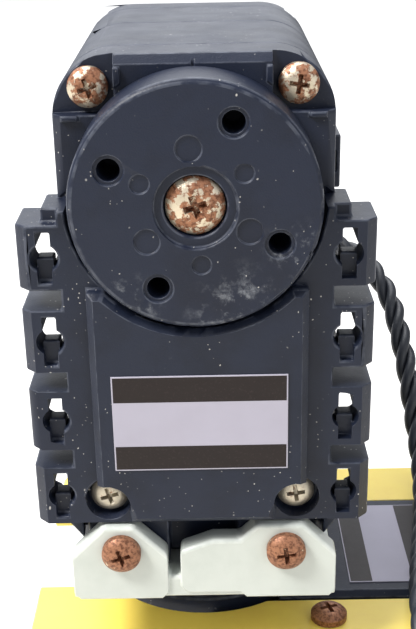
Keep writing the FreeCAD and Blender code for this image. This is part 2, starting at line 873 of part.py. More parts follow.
def make_front_cover(tag, free_rows):
    """The shell behind the horn, with the front flanges and the raised panel."""
    recess, seam = -size.head_recess, -size.seam_front
    shell = prism(f"{tag}_shell", case_outline(), (seam, recess), size.head_bevel)
    plate = box(
        f"{tag}_flange_face",
        (-size.case_half_width, size.case_half_width),
        (-size.flange_bottom, -size.head_shoulder),
        (seam, sized(0)),
    )
    lips = mirrored_x(
        lambda side: box(
            f"{tag}_lip_{side}",
            between(side * size.lip_inner, side * size.lip_outer),
            (size.lip_step - size.case_bottom, OVERLAP - size.flange_bottom),
            (seam, -size.lip_recess),
        )
    )
    corner = root(
        (size.horn_radius + size.horn_gap) * (size.horn_radius + size.horn_gap)
        - size.panel_top * size.panel_top
    )
    half, top, low, bite = (
        size.panel_half_width,
        -size.panel_top,
        -size.panel_bottom,
        size.panel_scallop,
    )
    panel = prism(
        f"{tag}_panel",
        [
            (-half, top),
            (-corner, top),
            (corner, top, size.horn_radius + size.horn_gap),
            (half, top),
            (half, low + bite),
            (half - bite, low, bite),
            (bite - half, low),
            (-half, low + bite, bite),
        ],
        (sized(-OVERLAP), size.panel_height),
        size.panel_bevel,
    )
    ridge = size.ridge_offset
    ridges = []
    for side in (1, -1):
        wall = between(side * (ridge - size.ridge_width), side * ridge)
        crest = (recess - OVERLAP, recess + size.ridge_height)
        run = (size.ridge_start, size.case_top - size.ridge_margin)
        ridges.append(box(f"{tag}_ridge_{side}", wall, run, crest))
        reach = between(side * size.step_start, side * (size.head_half_width - size.step_margin))
        ridges.append(box(f"{tag}_step_{side}", reach, (ridge - size.ridge_width, ridge), crest))
    blocks = flange_parts(f"{tag}_flange", 1, (-size.flange_depth, sized(0)))
    solid = fuse(f"{tag}_solid", shell, plate, panel, *lips, *ridges, *blocks)
    inner = -(size.head_recess + size.front_wall)
    pockets = mirrored_x(
        lambda side: box(
            f"{tag}_pocket_{side}",
            between(side * ridge, side * (size.head_half_width + PAST)),
            (ridge, size.case_top + PAST),
            (recess - size.pocket_depth, recess + PAST),
        )
    )
    back = seam - PAST
    screw_front = recess + PAST
    nut_span = (-size.flange_depth, size.nut_thickness + size.nut_gap - size.flange_depth)
    key_span = (-size.flange_depth - PAST, sized(PAST))
    panel_room = box(
        f"{tag}_panel_room",
        (-size.panel_cavity_half_width, size.panel_cavity_half_width),
        (OVERLAP - size.cavity_front_bottom, -size.panel_cavity_top),
        (inner - OVERLAP, size.panel_height - size.panel_wall),
    )
    mark = box(
        f"{tag}_mark",
        (-size.mark_half_width, size.mark_half_width),
        (size.case_top - size.mark_length, size.case_top + PAST),
        (recess - size.mark_depth, recess + PAST),
    )
    over_horn = size.horn_front + PAST
    low_sink = size.screw_head + size.low_sink_gap
    hollow = cut(
        f"{tag}_hollow",
        solid,
        cavity(f"{tag}_room", size.cavity_front_bottom, (back, inner)),
        panel_room,
        rod(f"{tag}_horn_room", size.horn_radius + size.horn_gap, (recess, over_horn)),
        rod(f"{tag}_bushing_seat", size.bushing_radius, (inner - PAST, recess + PAST)),
        *pockets,
        mark,
        *corner_holes(f"{tag}_long_hole", SCREW_HOLE, (back, screw_front)),
        *low_holes(f"{tag}_low_recess", low_sink, (-size.low_screw_recess, over_horn)),
        *flange_cuts(f"{tag}_key", sized(0), key_span, nut_span),
        *foot_holes(f"{tag}_foot_hole", SCREW_HOLE, (seam, sized(PAST))),
        *foot_holes(f"{tag}_nut_room", size.nut_radius + size.nut_gap, (back, -size.nut_depth)),
    )
    pillars = low_holes(f"{tag}_pillar", size.low_pillar_radius, (seam, -size.low_screw_recess))
    webs = mirrored_x(
        lambda side: box(
            f"{tag}_web_{side}",
            between(side * size.low_screw_x, side * (size.cavity_half_width + size.web_root)),
            (-size.low_screw_y - size.web_half_width, size.web_half_width - size.low_screw_y),
            (seam, inner),
        )
    )
    boss_low = size.boss_gap - size.middle_wheel_front
    boss_span = (boss_low, size.panel_height - size.panel_wall / 2)
    boss = rod(f"{tag}_boss", size.pin_boss_radius, boss_span, FIRST_PIN)
    tongue_back = size.tongue_front + size.tongue_depth
    catches = tongues(f"{tag}_tongue", size.tongue_front, tongue_back, free_rows)
    joined = fuse(f"{tag}_joined", hollow, *pillars, *webs, boss, *catches)
    middle_seat = (inner - PAST, inner + size.pin_seat)
    first_seat = (boss_low - PAST, boss_low + size.pin_seat)
    seats = [
        rod(f"{tag}_seat_middle", size.pin_radius, middle_seat, MIDDLE_PIN),
        rod(f"{tag}_seat_first", size.pin_radius, first_seat, FIRST_PIN),
    ]
    bores = low_holes(f"{tag}_low_hole", SCREW_HOLE, (back, sized(PAST)))
    return cut(f"{tag}_front_cover", joined, *seats, *bores)


def make_front_case(tag):
    """The shell that holds the cross wall between the gears and the motor."""
    front, back = -size.seam_front, -size.seam_middle
    solid = prism(f"{tag}_front_case_solid", case_outline(), (back, front))
    wall = (-size.wall_rear, -size.wall_front)
    pillars = low_holes(f"{tag}_case_pillar", size.low_pillar_radius, (-size.wall_rear, front))
    webs = mirrored_x(
        lambda side: box(
            f"{tag}_case_web_{side}",
            between(side * size.low_screw_x, side * (size.cavity_half_width + size.web_root)),
            (-size.low_screw_y - size.web_half_width, size.web_half_width - size.low_screw_y),
            (-size.wall_rear, front),
        )
    )
    hollow = cut(
        f"{tag}_front_case_hollow",
        solid,
        cavity(f"{tag}_gear_room", size.cavity_front_bottom, (wall[1], front + PAST)),
        cavity(f"{tag}_motor_room", size.cavity_rear_bottom, (back - PAST, wall[0])),
        rod(f"{tag}_motor_bed", size.motor_radius + size.fit_gap, (back - PAST, wall[0]), MOTOR),
    )
    joined = fuse(f"{tag}_front_case_joined", hollow, *pillars, *webs)
    through = (wall[0] - PAST, wall[1] + PAST)
    blind = (-size.wall_front - size.pin_blind, through[1])
    low_span = (-size.low_screw_end - size.screw_tip_gap, front + PAST)
    long_span = (-size.top_screw_end - size.screw_tip_gap, front + PAST)
    return cut(
        f"{tag}_front_case",
        joined,
        *low_holes(f"{tag}_case_low_hole", SCREW_HOLE, low_span),
        *corner_holes(f"{tag}_case_long_hole", SCREW_HOLE, long_span),
        rod(f"{tag}_wall_eye", size.rear_shaft_radius + size.bore_clearance, through),
        rod(f"{tag}_wall_middle", size.pin_radius, blind, MIDDLE_PIN),
        rod(f"{tag}_wall_first", size.pin_radius, blind, FIRST_PIN),
        rod(f"{tag}_wall_motor", size.motor_boss_radius + size.fit_gap, through, MOTOR),
    )


def rear_screw_holes(name, radius, z):
    """Holes for the three screws that enter from the back."""
    holes = corner_holes(name, radius, z)
    holes.append(rod(f"{name}_low", radius, z, (0, -size.rear_screw_y)))
    return holes


def make_rear_case(tag):
    """The shell round the motor and the board."""
    front, back = -size.seam_middle, -size.seam_rear
    solid = prism(f"{tag}_rear_case_solid", case_outline(), (back, front))
    through = (back - PAST, front + PAST)
    screw_span = (back - PAST, size.end_gap - size.rear_screw_end)
    return cut(
        f"{tag}_rear_case",
        solid,
        cavity(f"{tag}_board_room", size.cavity_rear_bottom, through),
        rod(f"{tag}_rear_bed", size.motor_radius + size.fit_gap, through, MOTOR),
        *rear_screw_holes(f"{tag}_rear_hole", SCREW_HOLE, screw_span),
    )


def make_rear_cover(tag):
    """The back plate with the rear flanges and the windows for the sockets."""
    front, back = -size.seam_rear, -size.case_depth
    solid = prism(f"{tag}_rear_plate", case_outline(), (back, front))
    blocks = flange_parts(f"{tag}_rear_flange", -1, (back, back + size.flange_depth))
    body = fuse(f"{tag}_rear_solid", solid, *blocks)
    keep = box(
        f"{tag}_rear_clear",
        (-size.case_half_width - size.flange_root, size.case_half_width + size.flange_root),
        (-size.case_bottom - PAST, size.case_top + PAST),
        (front, sized(0)),
    )
    through = (back - PAST, front + PAST)
    reach = size.socket_width / 2 + size.window_gap
    tall = size.socket_height / 2 + size.window_gap
    windows = mirrored_x(
        lambda side: box(
            f"{tag}_window_{side}",
            (side * size.socket_across / 2 - reach, side * size.socket_across / 2 + reach),
            (-size.socket_centre - tall, tall - size.socket_centre),
            through,
        )
    )
    block_end = back + size.flange_depth
    nut_span = (block_end - size.nut_thickness - size.nut_gap, block_end)
    lip = box(
        f"{tag}_rear_lip",
        (-size.flange_half_width - PAST, size.flange_half_width + PAST),
        (-size.case_bottom - PAST, size.bracket_lip_gap - TAB_TOP),
        (back - PAST, back + size.lip_recess),
    )
    sink = size.screw_head + size.rear_sink_gap
    sunk = back + size.rear_screw_recess
    low_spot = (0, -size.rear_screw_y)
    return cut(
        f"{tag}_rear_cover",
        body,
        keep,
        lip,
        *windows,
        *rear_screw_holes(f"{tag}_cover_hole", SCREW_HOLE, through),
        *corner_holes(f"{tag}_cover_sink", sink, (back - PAST, sunk)),
        rod(f"{tag}_cover_sink_low", sink, (back - PAST, sunk + size.lip_recess), low_spot),
        *flange_cuts(f"{tag}_rear_key", back, (back - PAST, block_end + PAST), nut_span),
        *foot_holes(f"{tag}_rear_foot", SCREW_HOLE, through),
    )


def make_horn(tag):
    """The output disc: four bolt holes, six shallow dimples and a well for its screw."""
    front, back = size.horn_front, -size.horn_back
    body = new_body(f"{tag}_horn")
    disc = new_sketch(body, f"{tag}_horn_disc", back)
    draw_circle(disc, 0, 0, size.horn_radius)
    raised = pad(body, disc, front - back)
    bevel_top(body, raised, size.horn_bevel)
    bolt = new_sketch(body, f"{tag}_horn_bolt", front)
    reach = size.horn_bolt_circle / 2
    turn = size.horn_bolt_turn
    draw_circle(bolt, reach * cosine(turn), reach * sine(turn), size.horn_bolt_radius)
    polar(body, pocket(body, bolt, front - back + PAST), 4)
    mouth = new_sketch(body, f"{tag}_horn_mouth", front)
    mouth_radius = size.horn_bolt_radius + size.horn_bolt_bevel
    draw_circle(mouth, reach * cosine(turn), reach * sine(turn), mouth_radius)
    polar(body, pocket(body, mouth, size.horn_bolt_bevel), 4)
    for number, radius in enumerate((size.dimple_large, size.dimple_small)):
        start = size.horn_bolt_turn + 30 + 60 * number
        mark = new_sketch(body, f"{tag}_horn_dimple_{number}", front)
        circle = size.dimple_circle / 2
        draw_circle(mark, circle * cosine(start), circle * sine(start), radius)
        polar(body, pocket(body, mark, size.dimple_depth), 3)
    ring = new_sketch(body, f"{tag}_horn_ring", front)
    draw_circle(ring, 0, 0, size.horn_ring_radius)
    pocket(body, ring, size.horn_ring_depth)
    well = new_sketch(body, f"{tag}_horn_well", front)
    draw_circle(well, 0, 0, size.horn_well_radius)
    pocket(body, well, size.horn_well_depth)
    passage = new_sketch(body, f"{tag}_horn_passage", front)
    draw_circle(passage, 0, 0, size.horn_screw_passage)
    pocket(body, passage, front - back + PAST)
    bore = new_sketch(body, f"{tag}_horn_bore", -size.horn_bore_end)
    draw_circle(bore, 0, 0, BUSHING_BORE)
    pocket(body, bore, size.horn_back)
    notch = new_sketch(body, f"{tag}_horn_notch", front)
    angle = size.notch_angle
    rim = size.horn_radius
    draw_circle(notch, rim * cosine(angle), rim * sine(angle), size.notch_radius)
    body.Tip = pocket(body, notch, size.notch_depth)
    return body


def make_servo(tag, placement, free_rows):
    """Every piece of one servo unit, in its own frame and then put in place. free_rows are the rows
    of keyholes that no screw passes."""
    middle = (MIDDLE_PIN[0].value, MIDDLE_PIN[1].value)
    first = (FIRST_PIN[0].value, FIRST_PIN[1].value)
    motor = (MOTOR[0].value, MOTOR[1].value)
    wheel, small = size.wheel_teeth.value, size.pinion_teeth.value
    shift = size.tooth_shift.value
    step_front, step_back = size.pinion_front_step.value, size.pinion_back_step.value

    node(make_front_cover(tag, free_rows), f"{tag}_front_cover", placement)
    node(make_front_case(tag), f"{tag}_front_case", placement)
    node(make_rear_case(tag), f"{tag}_rear_case", placement)
    node(make_rear_cover(tag), f"{tag}_rear_cover", placement)
    node(make_horn(tag), f"{tag}_horn", placement)

    under = size.horn_front - size.horn_well_depth
    horn_screw = pan_screw(
        f"{tag}_horn_screw",
        (0, 0),
        under,
        -size.horn_screw_end,
        size.horn_screw_head,
        size.horn_screw_head_height,
        size.horn_screw_shank,
    )
    node(horn_screw, f"{tag}_horn_screw", placement)

    inner = size.head_recess + size.front_wall
    sleeve = cut(
        f"{tag}_output_bushing",
        rod(f"{tag}_bushing_body", size.bushing_radius, (-inner, -size.head_recess)),
        rod(f"{tag}_bushing_hole", BUSHING_BORE, (-inner - PAST, PAST - size.head_recess)),
    )
    node(sleeve, f"{tag}_output_bushing", placement)

    layers = (-size.last_wheel_back.value, -size.last_wheel_front.value)
    shape = toothed_disc(wheel, size.module_last.value, -shift, 0.0, layers)
    shaft_top = -(size.horn_bore_end + size.shaft_end_gap).value
    shape = shape.fuse(drum(size.shaft_radius.value, (layers[1], shaft_top)))
    shape = shape.fuse(drum(size.rear_shaft_radius.value, (-size.rear_shaft_end.value, layers[0])))
    threaded = (size.horn_screw_shank + size.thread_gap).value
    thread_end = -(size.horn_screw_end + size.screw_tip_gap).value
    shape = shape.cut(drum(threaded, (thread_end, PAST)))
    node(feature(f"{tag}_output_gear", shape), f"{tag}_output_gear", placement)

    heading = direction((0, 0), middle)
    pinion = toothed_disc(
        small,
        size.module_last.value,
        shift,
        mesh_phase(0.0, wheel, heading, small),
        (layers[0] - step_back, layers[1] + step_front),
    )
    layers = (-size.middle_wheel_back.value, -size.middle_wheel_front.value)
    shape = pinion.fuse(toothed_disc(wheel, size.module_middle.value, -shift, 0.0, layers))
    hub = (size.pin_radius + size.hub_wall).value
    shape = shape.fuse(drum(hub, (layers[1], -size.last_wheel_back.value)))
    bore = (size.pin_radius + size.pin_clearance).value
    shape = shape.cut(drum(bore, (-size.case_depth.value, PAST)))
    node(feature(f"{tag}_middle_gear", shape, middle), f"{tag}_middle_gear", placement)

    heading = direction(middle, first)
    pinion = toothed_disc(
        small,
        size.module_middle.value,
        shift,
        mesh_phase(0.0, wheel, heading, small),
        (layers[0] - step_back, layers[1] + step_front),
    )
    layers = (-size.first_wheel_back.value, -size.first_wheel_front.value)
    shape = pinion.fuse(toothed_disc(wheel, size.module_first.value, -shift, 0.0, layers))
    hub = (size.pin_radius + size.first_hub_wall).value
    shape = shape.fuse(drum(hub, (layers[1], -size.middle_wheel_back.value)))
    shape = shape.cut(drum(bore, (-size.case_depth.value, PAST)))
    node(feature(f"{tag}_first_gear", shape, first), f"{tag}_first_gear", placement)

    heading = direction(first, motor)
    shape = toothed_disc(
        small,
        size.module_first.value,
        shift,
        mesh_phase(0.0, wheel, heading, small),
        (-size.motor_pinion_back.value, layers[1] + step_front),
    )
    axle = (-size.motor_shaft_end.value, -size.motor_pinion_back.value)
    shape = shape.fuse(drum(size.motor_shaft_radius.value, axle))
    node(feature(f"{tag}_motor_pinion", shape, motor), f"{tag}_motor_pinion", placement)

    pin_back = -(size.wall_front + size.pin_blind)
    seat = size.pin_seat - size.end_gap - inner
    middle_shaft = rod(f"{tag}_middle_shaft", size.pin_radius, (pin_back, seat), MIDDLE_PIN)
    node(middle_shaft, f"{tag}_middle_shaft", placement)
    seat = size.boss_gap + size.pin_seat - size.end_gap - size.middle_wheel_front
    first_shaft = rod(f"{tag}_first_shaft", size.pin_radius, (pin_back, seat), FIRST_PIN)
    node(first_shaft, f"{tag}_first_shaft", placement)

    nose = (-size.motor_front - PAST, -size.wall_front - size.motor_nose_gap)
    can = fuse(
        f"{tag}_motor_can",
        rod(f"{tag}_motor_barrel", size.motor_radius, (-size.motor_back, -size.motor_front), MOTOR),
        rod(f"{tag}_motor_nose", size.motor_boss_radius, nose, MOTOR),
    )
    bored = size.motor_shaft_radius + size.bore_clearance
    depth = (-size.motor_shaft_end - size.end_gap, -size.wall_front + PAST)
    hole = rod(f"{tag}_motor_bore", bored, depth, MOTOR)
    node(cut(f"{tag}_motor", can, hole), f"{tag}_motor", placement)

    eye = size.rear_shaft_radius + size.bore_clearance
    sensor = cut(
        f"{tag}_angle_sensor",
        rod(f"{tag}_sensor_body", size.sensor_radius, (-size.sensor_back, -size.sensor_front)),
        rod(f"{tag}_sensor_eye", eye, (-size.sensor_back - PAST, PAST - size.sensor_front)),
    )
    node(sensor, f"{tag}_angle_sensor", placement)

    half = size.board_half_width
    board = box(
        f"{tag}_circuit_board",
        (-half, half),
        (-size.board_bottom, size.board_top),
        (-size.board_back, -size.board_front),
    )
    node(board, f"{tag}_circuit_board", placement)
    node(make_sockets(tag), f"{tag}_sockets", placement)

    screws = make_case_screws(tag)
    node(group(f"{tag}_front_screws", *screws[:4]), f"{tag}_front_screws", placement)
    node(group(f"{tag}_rear_screws", *screws[4:]), f"{tag}_rear_screws", placement)

    half = size.label_width / 2
    tall = size.label_length / 2
    label = box(
        f"{tag}_label",
        (-half, half),
        (-size.label_centre - tall, tall - size.label_centre),
        (size.panel_height, size.panel_height + size.label_thickness),
    )
    node(label, f"{tag}_label", placement)


def make_case_screws(tag):
    """The four front screws, then the three rear ones."""
    heads = (size.screw_head, size.screw_head_height, size.screw_shank)
    offset = size.top_screw_offset
    x, y = size.low_screw_x, -size.low_screw_y
    floor = -size.head_recess - size.pocket_depth
    sink = size.rear_screw_recess - size.case_depth
    screws = []
    for side in (1, -1):
        spot = (side * offset, offset)
        screws.append(pan_screw(f"{tag}_long_{side}", spot, floor, -size.top_screw_end, *heads))
    for side in (1, -1):
        spot, under = (side * x, y), -size.low_screw_recess
        screws.append(pan_screw(f"{tag}_short_{side}", spot, under, -size.low_screw_end, *heads))
    end = -size.rear_screw_end
    for side in (1, -1):
        spot = (side * offset, offset)
        screws.append(pan_screw(f"{tag}_rear_{side}", spot, sink, end, *heads, facing=-1))
    spot = (0, -size.rear_screw_y)
    low_sink = sink + size.lip_recess
    screws.append(pan_screw(f"{tag}_rear_low", spot, low_sink, end, *heads, facing=-1))
    return screws


def make_sockets(tag):
    """Two three-pin sockets on the board, their mouths at the back."""
    items = []
    for side in (1, -1):
        name = f"{tag}_socket_{'r' if side > 0 else 'l'}"
        x = side * size.socket_across / 2
        y = -size.socket_centre
        wide, tall, wall = size.socket_width / 2, size.socket_height / 2, size.socket_wall
        body = (-size.socket_end, -size.board_back)
        shell = cut(
            f"{name}_shell",
            box(f"{name}_block", (x - wide, x + wide), (y - tall, y + tall), body),
            box(
                f"{name}_mouth",
                (x - wide + wall, x + wide - wall),
                (y - tall + wall, y + tall - wall),
                (body[0] - PAST, body[1] - size.socket_floor),
            ),
        )
        pins = []
        for number in (-1, 0, 1):
            spot = x + number * size.socket_pitch
            thin = size.socket_pin
            span = (body[0] + size.socket_pin_tip, body[1] - size.socket_pin_root)
            across = (spot - thin, spot + thin)
            pins.append(box(f"{name}_pin_{number}", across, (y - thin, y + thin), span))
        items.append(fuse(name, shell, *pins))
    return group(f"{tag}_sockets", *items)


# ---- bracket, riser, plate and lead -------------------------------------------------------------


def tab_outline(side, finger):
    """One upright tab of the foot bracket, in the tilt unit's front view."""
    outer, inner, top, low = size.tab_outer, size.tab_inner, -TAB_TOP, -TAB_BOTTOM
    cut_in, corner = size.tab_chamfer, size.tab_corner
    if finger:
        path = [
            (inner, -FINGER_BOTTOM),
            (-size.finger_end + corner, -FINGER_BOTTOM),
            (-size.finger_end, corner - FINGER_BOTTOM),
            (-size.finger_end, -FINGER_TIP_TOP),
            (size.finger_side, -FINGER_TOP),
            (inner, -FINGER_TOP),
            (inner + cut_in / 2, top),
            (outer - cut_in, top),
            (outer, top - cut_in),
            (outer, low + corner),
            (outer - corner, low),
            (inner + corner, low),
        ]
    else:
        path = [
            (inner + corner, low),
            (inner, low + corner),
            (inner, top - cut_in),
            (inner + cut_in, top),
            (outer - cut_in, top),
            (outer, top - cut_in),
            (outer, low + corner),
            (outer - corner, low),
        ]
    return [(side * sized(x), y) for x, y in path]


def make_bracket():
    """The white foot bracket: a floor with two tabs at each end of the tilt unit. Returns it and the
    span of its screw holes."""
    front = (size.tab_front - size.tab_thickness, size.tab_front)
    back_face = -size.case_depth - size.tab_front
    back = (back_face, back_face + size.tab_thickness)
    high = -size.case_bottom - size.bracket_gap
    low = high - size.bracket_floor
    floor = box(
        "bracket_floor_plate",
        (-size.tab_outer, size.tab_outer),
        (low, high),
        (back[0] + size.bracket_inset, front[1] - size.bracket_inset),
    )
    tabs = [
        prism("tab_front_left", tab_outline(-1, False), front),
        prism("tab_front_right", tab_outline(1, True), front),
        prism("tab_back_left", tab_outline(-1, False), back),
        prism("tab_back_right", tab_outline(1, False), back),
    ]
    bracket = fuse("bracket_solid", floor, *tabs)
    return bracket, (back[0] - PAST, front[1] + PAST)


def bolt_spots():
    """The four bolt places of the pan horn in the row frame."""
    spots = []
    for number in range(4):
        angle = size.horn_bolt_turn + 90 + 90 * number
        reach = size.horn_bolt_circle / 2
        spots.append((reach * cosine(angle), reach * sine(angle)))
    return spots


PAN_FACE = size.case_depth
RISER_LOW = PAN_FACE + size.horn_front
RISER_HIGH = RISER_LOW + size.riser_height
BRACKET_TOP = RISER_HIGH + size.bracket_floor
TILT_FRONT = -(size.case_depth / 2 + size.bracket_offset)
TILT_AXIS = BRACKET_TOP + size.bracket_gap + size.case_bottom
TILT_PLACE = Placement(
    Vector(0, TILT_FRONT.value, TILT_AXIS.value),
    Rotation(Vector(1, 0, 0), 90),
)
PAN_PLACE = Placement(Vector(0, 0, PAN_FACE.value), Rotation(Vector(0, 0, 1), 90))

make_servo("pan", PAN_PLACE, (0, 2))
make_servo("tilt", TILT_PLACE, (0, 1, 2, 3))

bracket_solid, bracket_span = make_bracket()
foot_tools = foot_holes("bracket_hole", SCREW_HOLE, bracket_span)
for item in foot_tools + [bracket_solid]:
    item.Visibility = False
placed = cut("bracket_drilled", bracket_solid, *foot_tools)
placed.Placement = TILT_PLACE
seats = []
for number, spot in enumerate(bolt_spots()):
    floor_span = (RISER_HIGH - PAST, BRACKET_TOP + PAST)
    seats.append(rod(f"bracket_eye_{number}", SCREW_HOLE, floor_span, spot))
    sunk = (BRACKET_TOP - size.riser_screw_sink, BRACKET_TOP)
    mouth = size.foot_screw_head + size.riser_sink_gap
    seats.append(cone(f"bracket_sink_{number}", SCREW_HOLE, mouth, sunk, spot))
node(cut("foot_bracket", placed, *seats), "foot_bracket")

heads = (size.foot_screw_head, size.foot_screw_head_height, size.screw_shank)
x, y = size.foot_screw_across / 2, -FOOT_SCREW_Y
screws, nuts = [], []
rear_face = -size.case_depth - size.tab_front
for side in (1, -1):
    at = (side * x, y)
    tip = size.tab_front - size.foot_screw_length
    screws.append(pan_screw(f"foot_screw_front_{side}", at, size.tab_front, tip, *heads))
    tip = rear_face + size.rear_foot_screw_length
    screws.append(pan_screw(f"foot_screw_back_{side}", at, rear_face, tip, *heads, facing=-1))
    nuts.append(nut(f"foot_nut_{side}", at, (-size.nut_depth - size.nut_thickness, -size.nut_depth)))
node(group("foot_screws", *screws), "foot_screws", TILT_PLACE)
node(group("foot_nuts", *nuts), "foot_nuts", TILT_PLACE)

riser = new_body("riser")
riser_disc = new_sketch(riser, "riser_disc", RISER_LOW)
draw_circle(riser_disc, 0, 0, size.horn_radius)
pad(riser, riser_disc, size.riser_height)
riser_well = new_sketch(riser, "riser_well_circle", RISER_HIGH)
draw_circle(riser_well, 0, 0, size.riser_well)
pocket(riser, riser_well, size.riser_height + PAST)
riser_hole = new_sketch(riser, "riser_hole", RISER_HIGH)
first_spot = bolt_spots()[0]
draw_circle(riser_hole, first_spot[0], first_spot[1], SCREW_HOLE)
polar(riser, pocket(riser, riser_hole, size.riser_height + PAST), 4)
node(riser, "riser")



def flat_screw(name, spot, top, end):
    """A countersunk cross-slotted screw whose head is level with top."""
    under = top - size.riser_screw_sink
    blank = fuse(
        f"{name}_blank",
        cone(f"{name}_head", size.screw_shank, size.foot_screw_head, (under, top), spot),
        rod(f"{name}_shank", size.screw_shank, (end, under), spot),
    )
    long_half, wide_half = size.screw_slot_length / 2, size.screw_slot_width / 2
    depth = (top - size.screw_slot_depth, top + PAST)
    x, y = spot
    along = ((x - long_half, x + long_half), (y - wide_half, y + wide_half), depth)
    across = ((x - wide_half, x + wide_half), (y - long_half, y + long_half), depth)
    return cut(name, blank, box(f"{name}_slot_a", *along), box(f"{name}_slot_b", *across))


riser_end = BRACKET_TOP - size.riser_screw_length
riser_screws = []
for number, spot in enumerate(bolt_spots()):
    riser_screws.append(flat_screw(f"riser_screw_{number}", spot, BRACKET_TOP, riser_end))
node(group("riser_screws", *riser_screws), "riser_screws")


def plate_outline():
    """The plate seen from above, with rounded corners."""
    left, right = -size.plate_left, size.plate_right
    wide, corner = size.plate_half_width, size.plate_corner
    return [
        (right - corner, -wide),
        (right, corner - wide, corner),
        (right, wide - corner),
        (right - corner, wide, corner),
        (left + corner, wide),
        (left, wide - corner, corner),
        (left, corner - wide),
        (left + corner, -wide, corner),
    ]


plate_low, plate_high = PAN_FACE, PAN_FACE + size.plate_thickness
sheet_blank = prism("plate_blank", plate_outline(), (plate_low, plate_high))
over = (plate_low - PAST, plate_high + PAST)
slot_half, window_half = size.plate_slot_half, size.plate_window_half
window_run = (sized(0), size.plate_window_right)
plate_tools = [
    rod("plate_eye", size.plate_eye_radius, over),
    box("plate_slot", (-size.plate_left - PAST, sized(0)), (-slot_half, slot_half), over),
    box("plate_window", window_run, (-window_half, window_half), over),
]
plate_spots = []
for side in (1, -1):
    across = side * size.keyhole_across / 2
    for number, along in enumerate((size.plate_screw_near, size.plate_screw_far)):
        plate_spots.append((f"{side}_{number}", (along, across)))
    bolt = (size.plate_bolt_x, side * size.plate_bolt_across / 2)
    plate_tools.append(rod(f"plate_bolt_{side}", size.plate_bolt_radius, over, bolt))
for name, spot in plate_spots:
    plate_tools.append(rod(f"plate_hole_{name}", SCREW_HOLE, over, spot))
node(cut("base_plate", sheet_blank, *plate_tools), "base_plate")

plate_screws, plate_nuts = [], []
for name, spot in plate_spots:
    bottom = PAN_FACE - size.flange_depth - size.plate_screw_tip
    plate_screws.append(pan_screw(f"plate_screw_{name}", spot, plate_high, bottom, *heads))
    nut_low = PAN_FACE - size.flange_depth + size.plate_nut_gap
    plate_nuts.append(nut(f"plate_nut_{name}", spot, (nut_low, nut_low + size.nut_thickness), 0))
node(group("plate_screws", *plate_screws), "plate_screws")
node(group("plate_nuts", *plate_nuts), "plate_nuts")


# The share of the shorter run that each arc of the lead takes up.
ARC_SHARE = 0.45


def lead_path(spots):
    """The lead's centreline: straight runs joined by tangent arcs as large as the runs allow."""
    edges, start, radii = [], spots[0], []
    for before, corner, after in zip(spots, spots[1:], spots[2:]):
        into, away = corner - before, after - corner
        turn = into.getAngle(away)
        reach = ARC_SHARE * min(into.Length, away.Length)
        radii.append(reach / math.tan(turn / 2))
        into_unit, away_unit = Vector(into).normalize(), Vector(away).normalize()
        first, last = corner - into_unit * reach, corner + away_unit * reach
        inward = (away_unit - into_unit).normalize()
        depth = radii[-1] / math.cos(turn / 2) - radii[-1]
        edges.append(Part.LineSegment(start, first).toShape())
        edges.append(Part.Arc(first, corner + inward * depth, last).toShape())
        start = last
    edges.append(Part.LineSegment(start, spots[-1]).toShape())
    return Part.Wire(edges), radii


spots = [Vector(*spot) for spot in LEAD_ROUTE]
path, radii = lead_path(spots)
diameter = size.lead_diameter.value
ring = Part.Wire(Part.makeCircle(diameter / 2, spots[0], spots[1] - spots[0]))
tube = path.makePipeShell([ring], True, False)
section = math.pi * diameter * diameter / 4
print("lead length", round(path.Length, 2), "tightest arc", round(min(radii), 2))
print("lead arc radii", [round(r, 1) for r in radii])
print("tube volume over section times length", round(tube.Volume / (section * path.Length), 4))
split = size.lead_split_height.value
reach = path.Length
above = Part.makeBox(reach, reach, reach, Vector(-reach / 2, -reach / 2, split))
below = Part.makeBox(reach, reach, reach, Vector(-reach / 2, -reach / 2, split - reach))
upper_lead = doc.addObject("Part::Feature", "lead_upper")
upper_lead.Shape = tube.common(above).Solids[0]
lower_lead = doc.addObject("Part::Feature", "lead_lower")
lower_lead.Shape = tube.common(below).Solids[0]
node(upper_lead, "lead_upper")
node(lower_lead, "lead_lower")

wide, tall = size.plug_width / 2, size.plug_height / 2
pin = size.plug_pin_half
x, y = size.socket_across / 2, -size.socket_centre
mouth = -size.case_depth - size.plug_length + size.plug_inset
block = (mouth, mouth + size.plug_length)
tunnel = (mouth + size.plug_hole_start, block[1] + PAST)
tilt_holes = []
for number in (-1, 0, 1):
    spot = x + number * size.socket_pitch
    name = f"tilt_plug_hole_{number}"
    tilt_holes.append(box(name, (spot - pin, spot + pin), (y - pin, y + pin), tunnel))
tilt_block = box("tilt_plug_block", (x - wide, x + wide), (y - tall, y + tall), block)
node(cut("tilt_plug", tilt_block, *tilt_holes), "tilt_plug", TILT_PLACE)

end_x, end_y = sized(LEAD_ROUTE[-1][0]), sized(LEAD_ROUTE[-1][1])
block = (end_x - size.plug_length, end_x)
tunnel = (block[0] - PAST, end_x - size.plug_hole_start)
level = (tall - pin, tall + pin)
loose_holes = []
for number in (-1, 0, 1):
    spot = end_y + number * size.socket_pitch
    loose_holes.append(box(f"loose_hole_{number}", tunnel, (spot - pin, spot + pin), level))
loose_span = (sized(0), size.plug_height)
loose_block = box("loose_block", block, (end_y - wide, end_y + wide), loose_span)
node(cut("loose_plug", loose_block, *loose_holes), "loose_plug")

doc.recompute()

for item in doc.Objects:
    state = [str(word) for word in item.State]
    if "Invalid" in state or "Error" in state:
        raise RuntimeError(f"{item.Label} failed: {state}")
os.makedirs("parts", exist_ok=True)
for item in nodes:
    shape = item.Shape
    if shape.isNull() or not shape.isValid() or not shape.Solids:
        raise RuntimeError(f"{item.Label} has no valid solid")
    print(item.Label, len(shape.Solids), round(shape.Volume, 2))
    shape.exportStep(f"parts/{item.Label}.step")
print(len(nodes), "sub-parts")
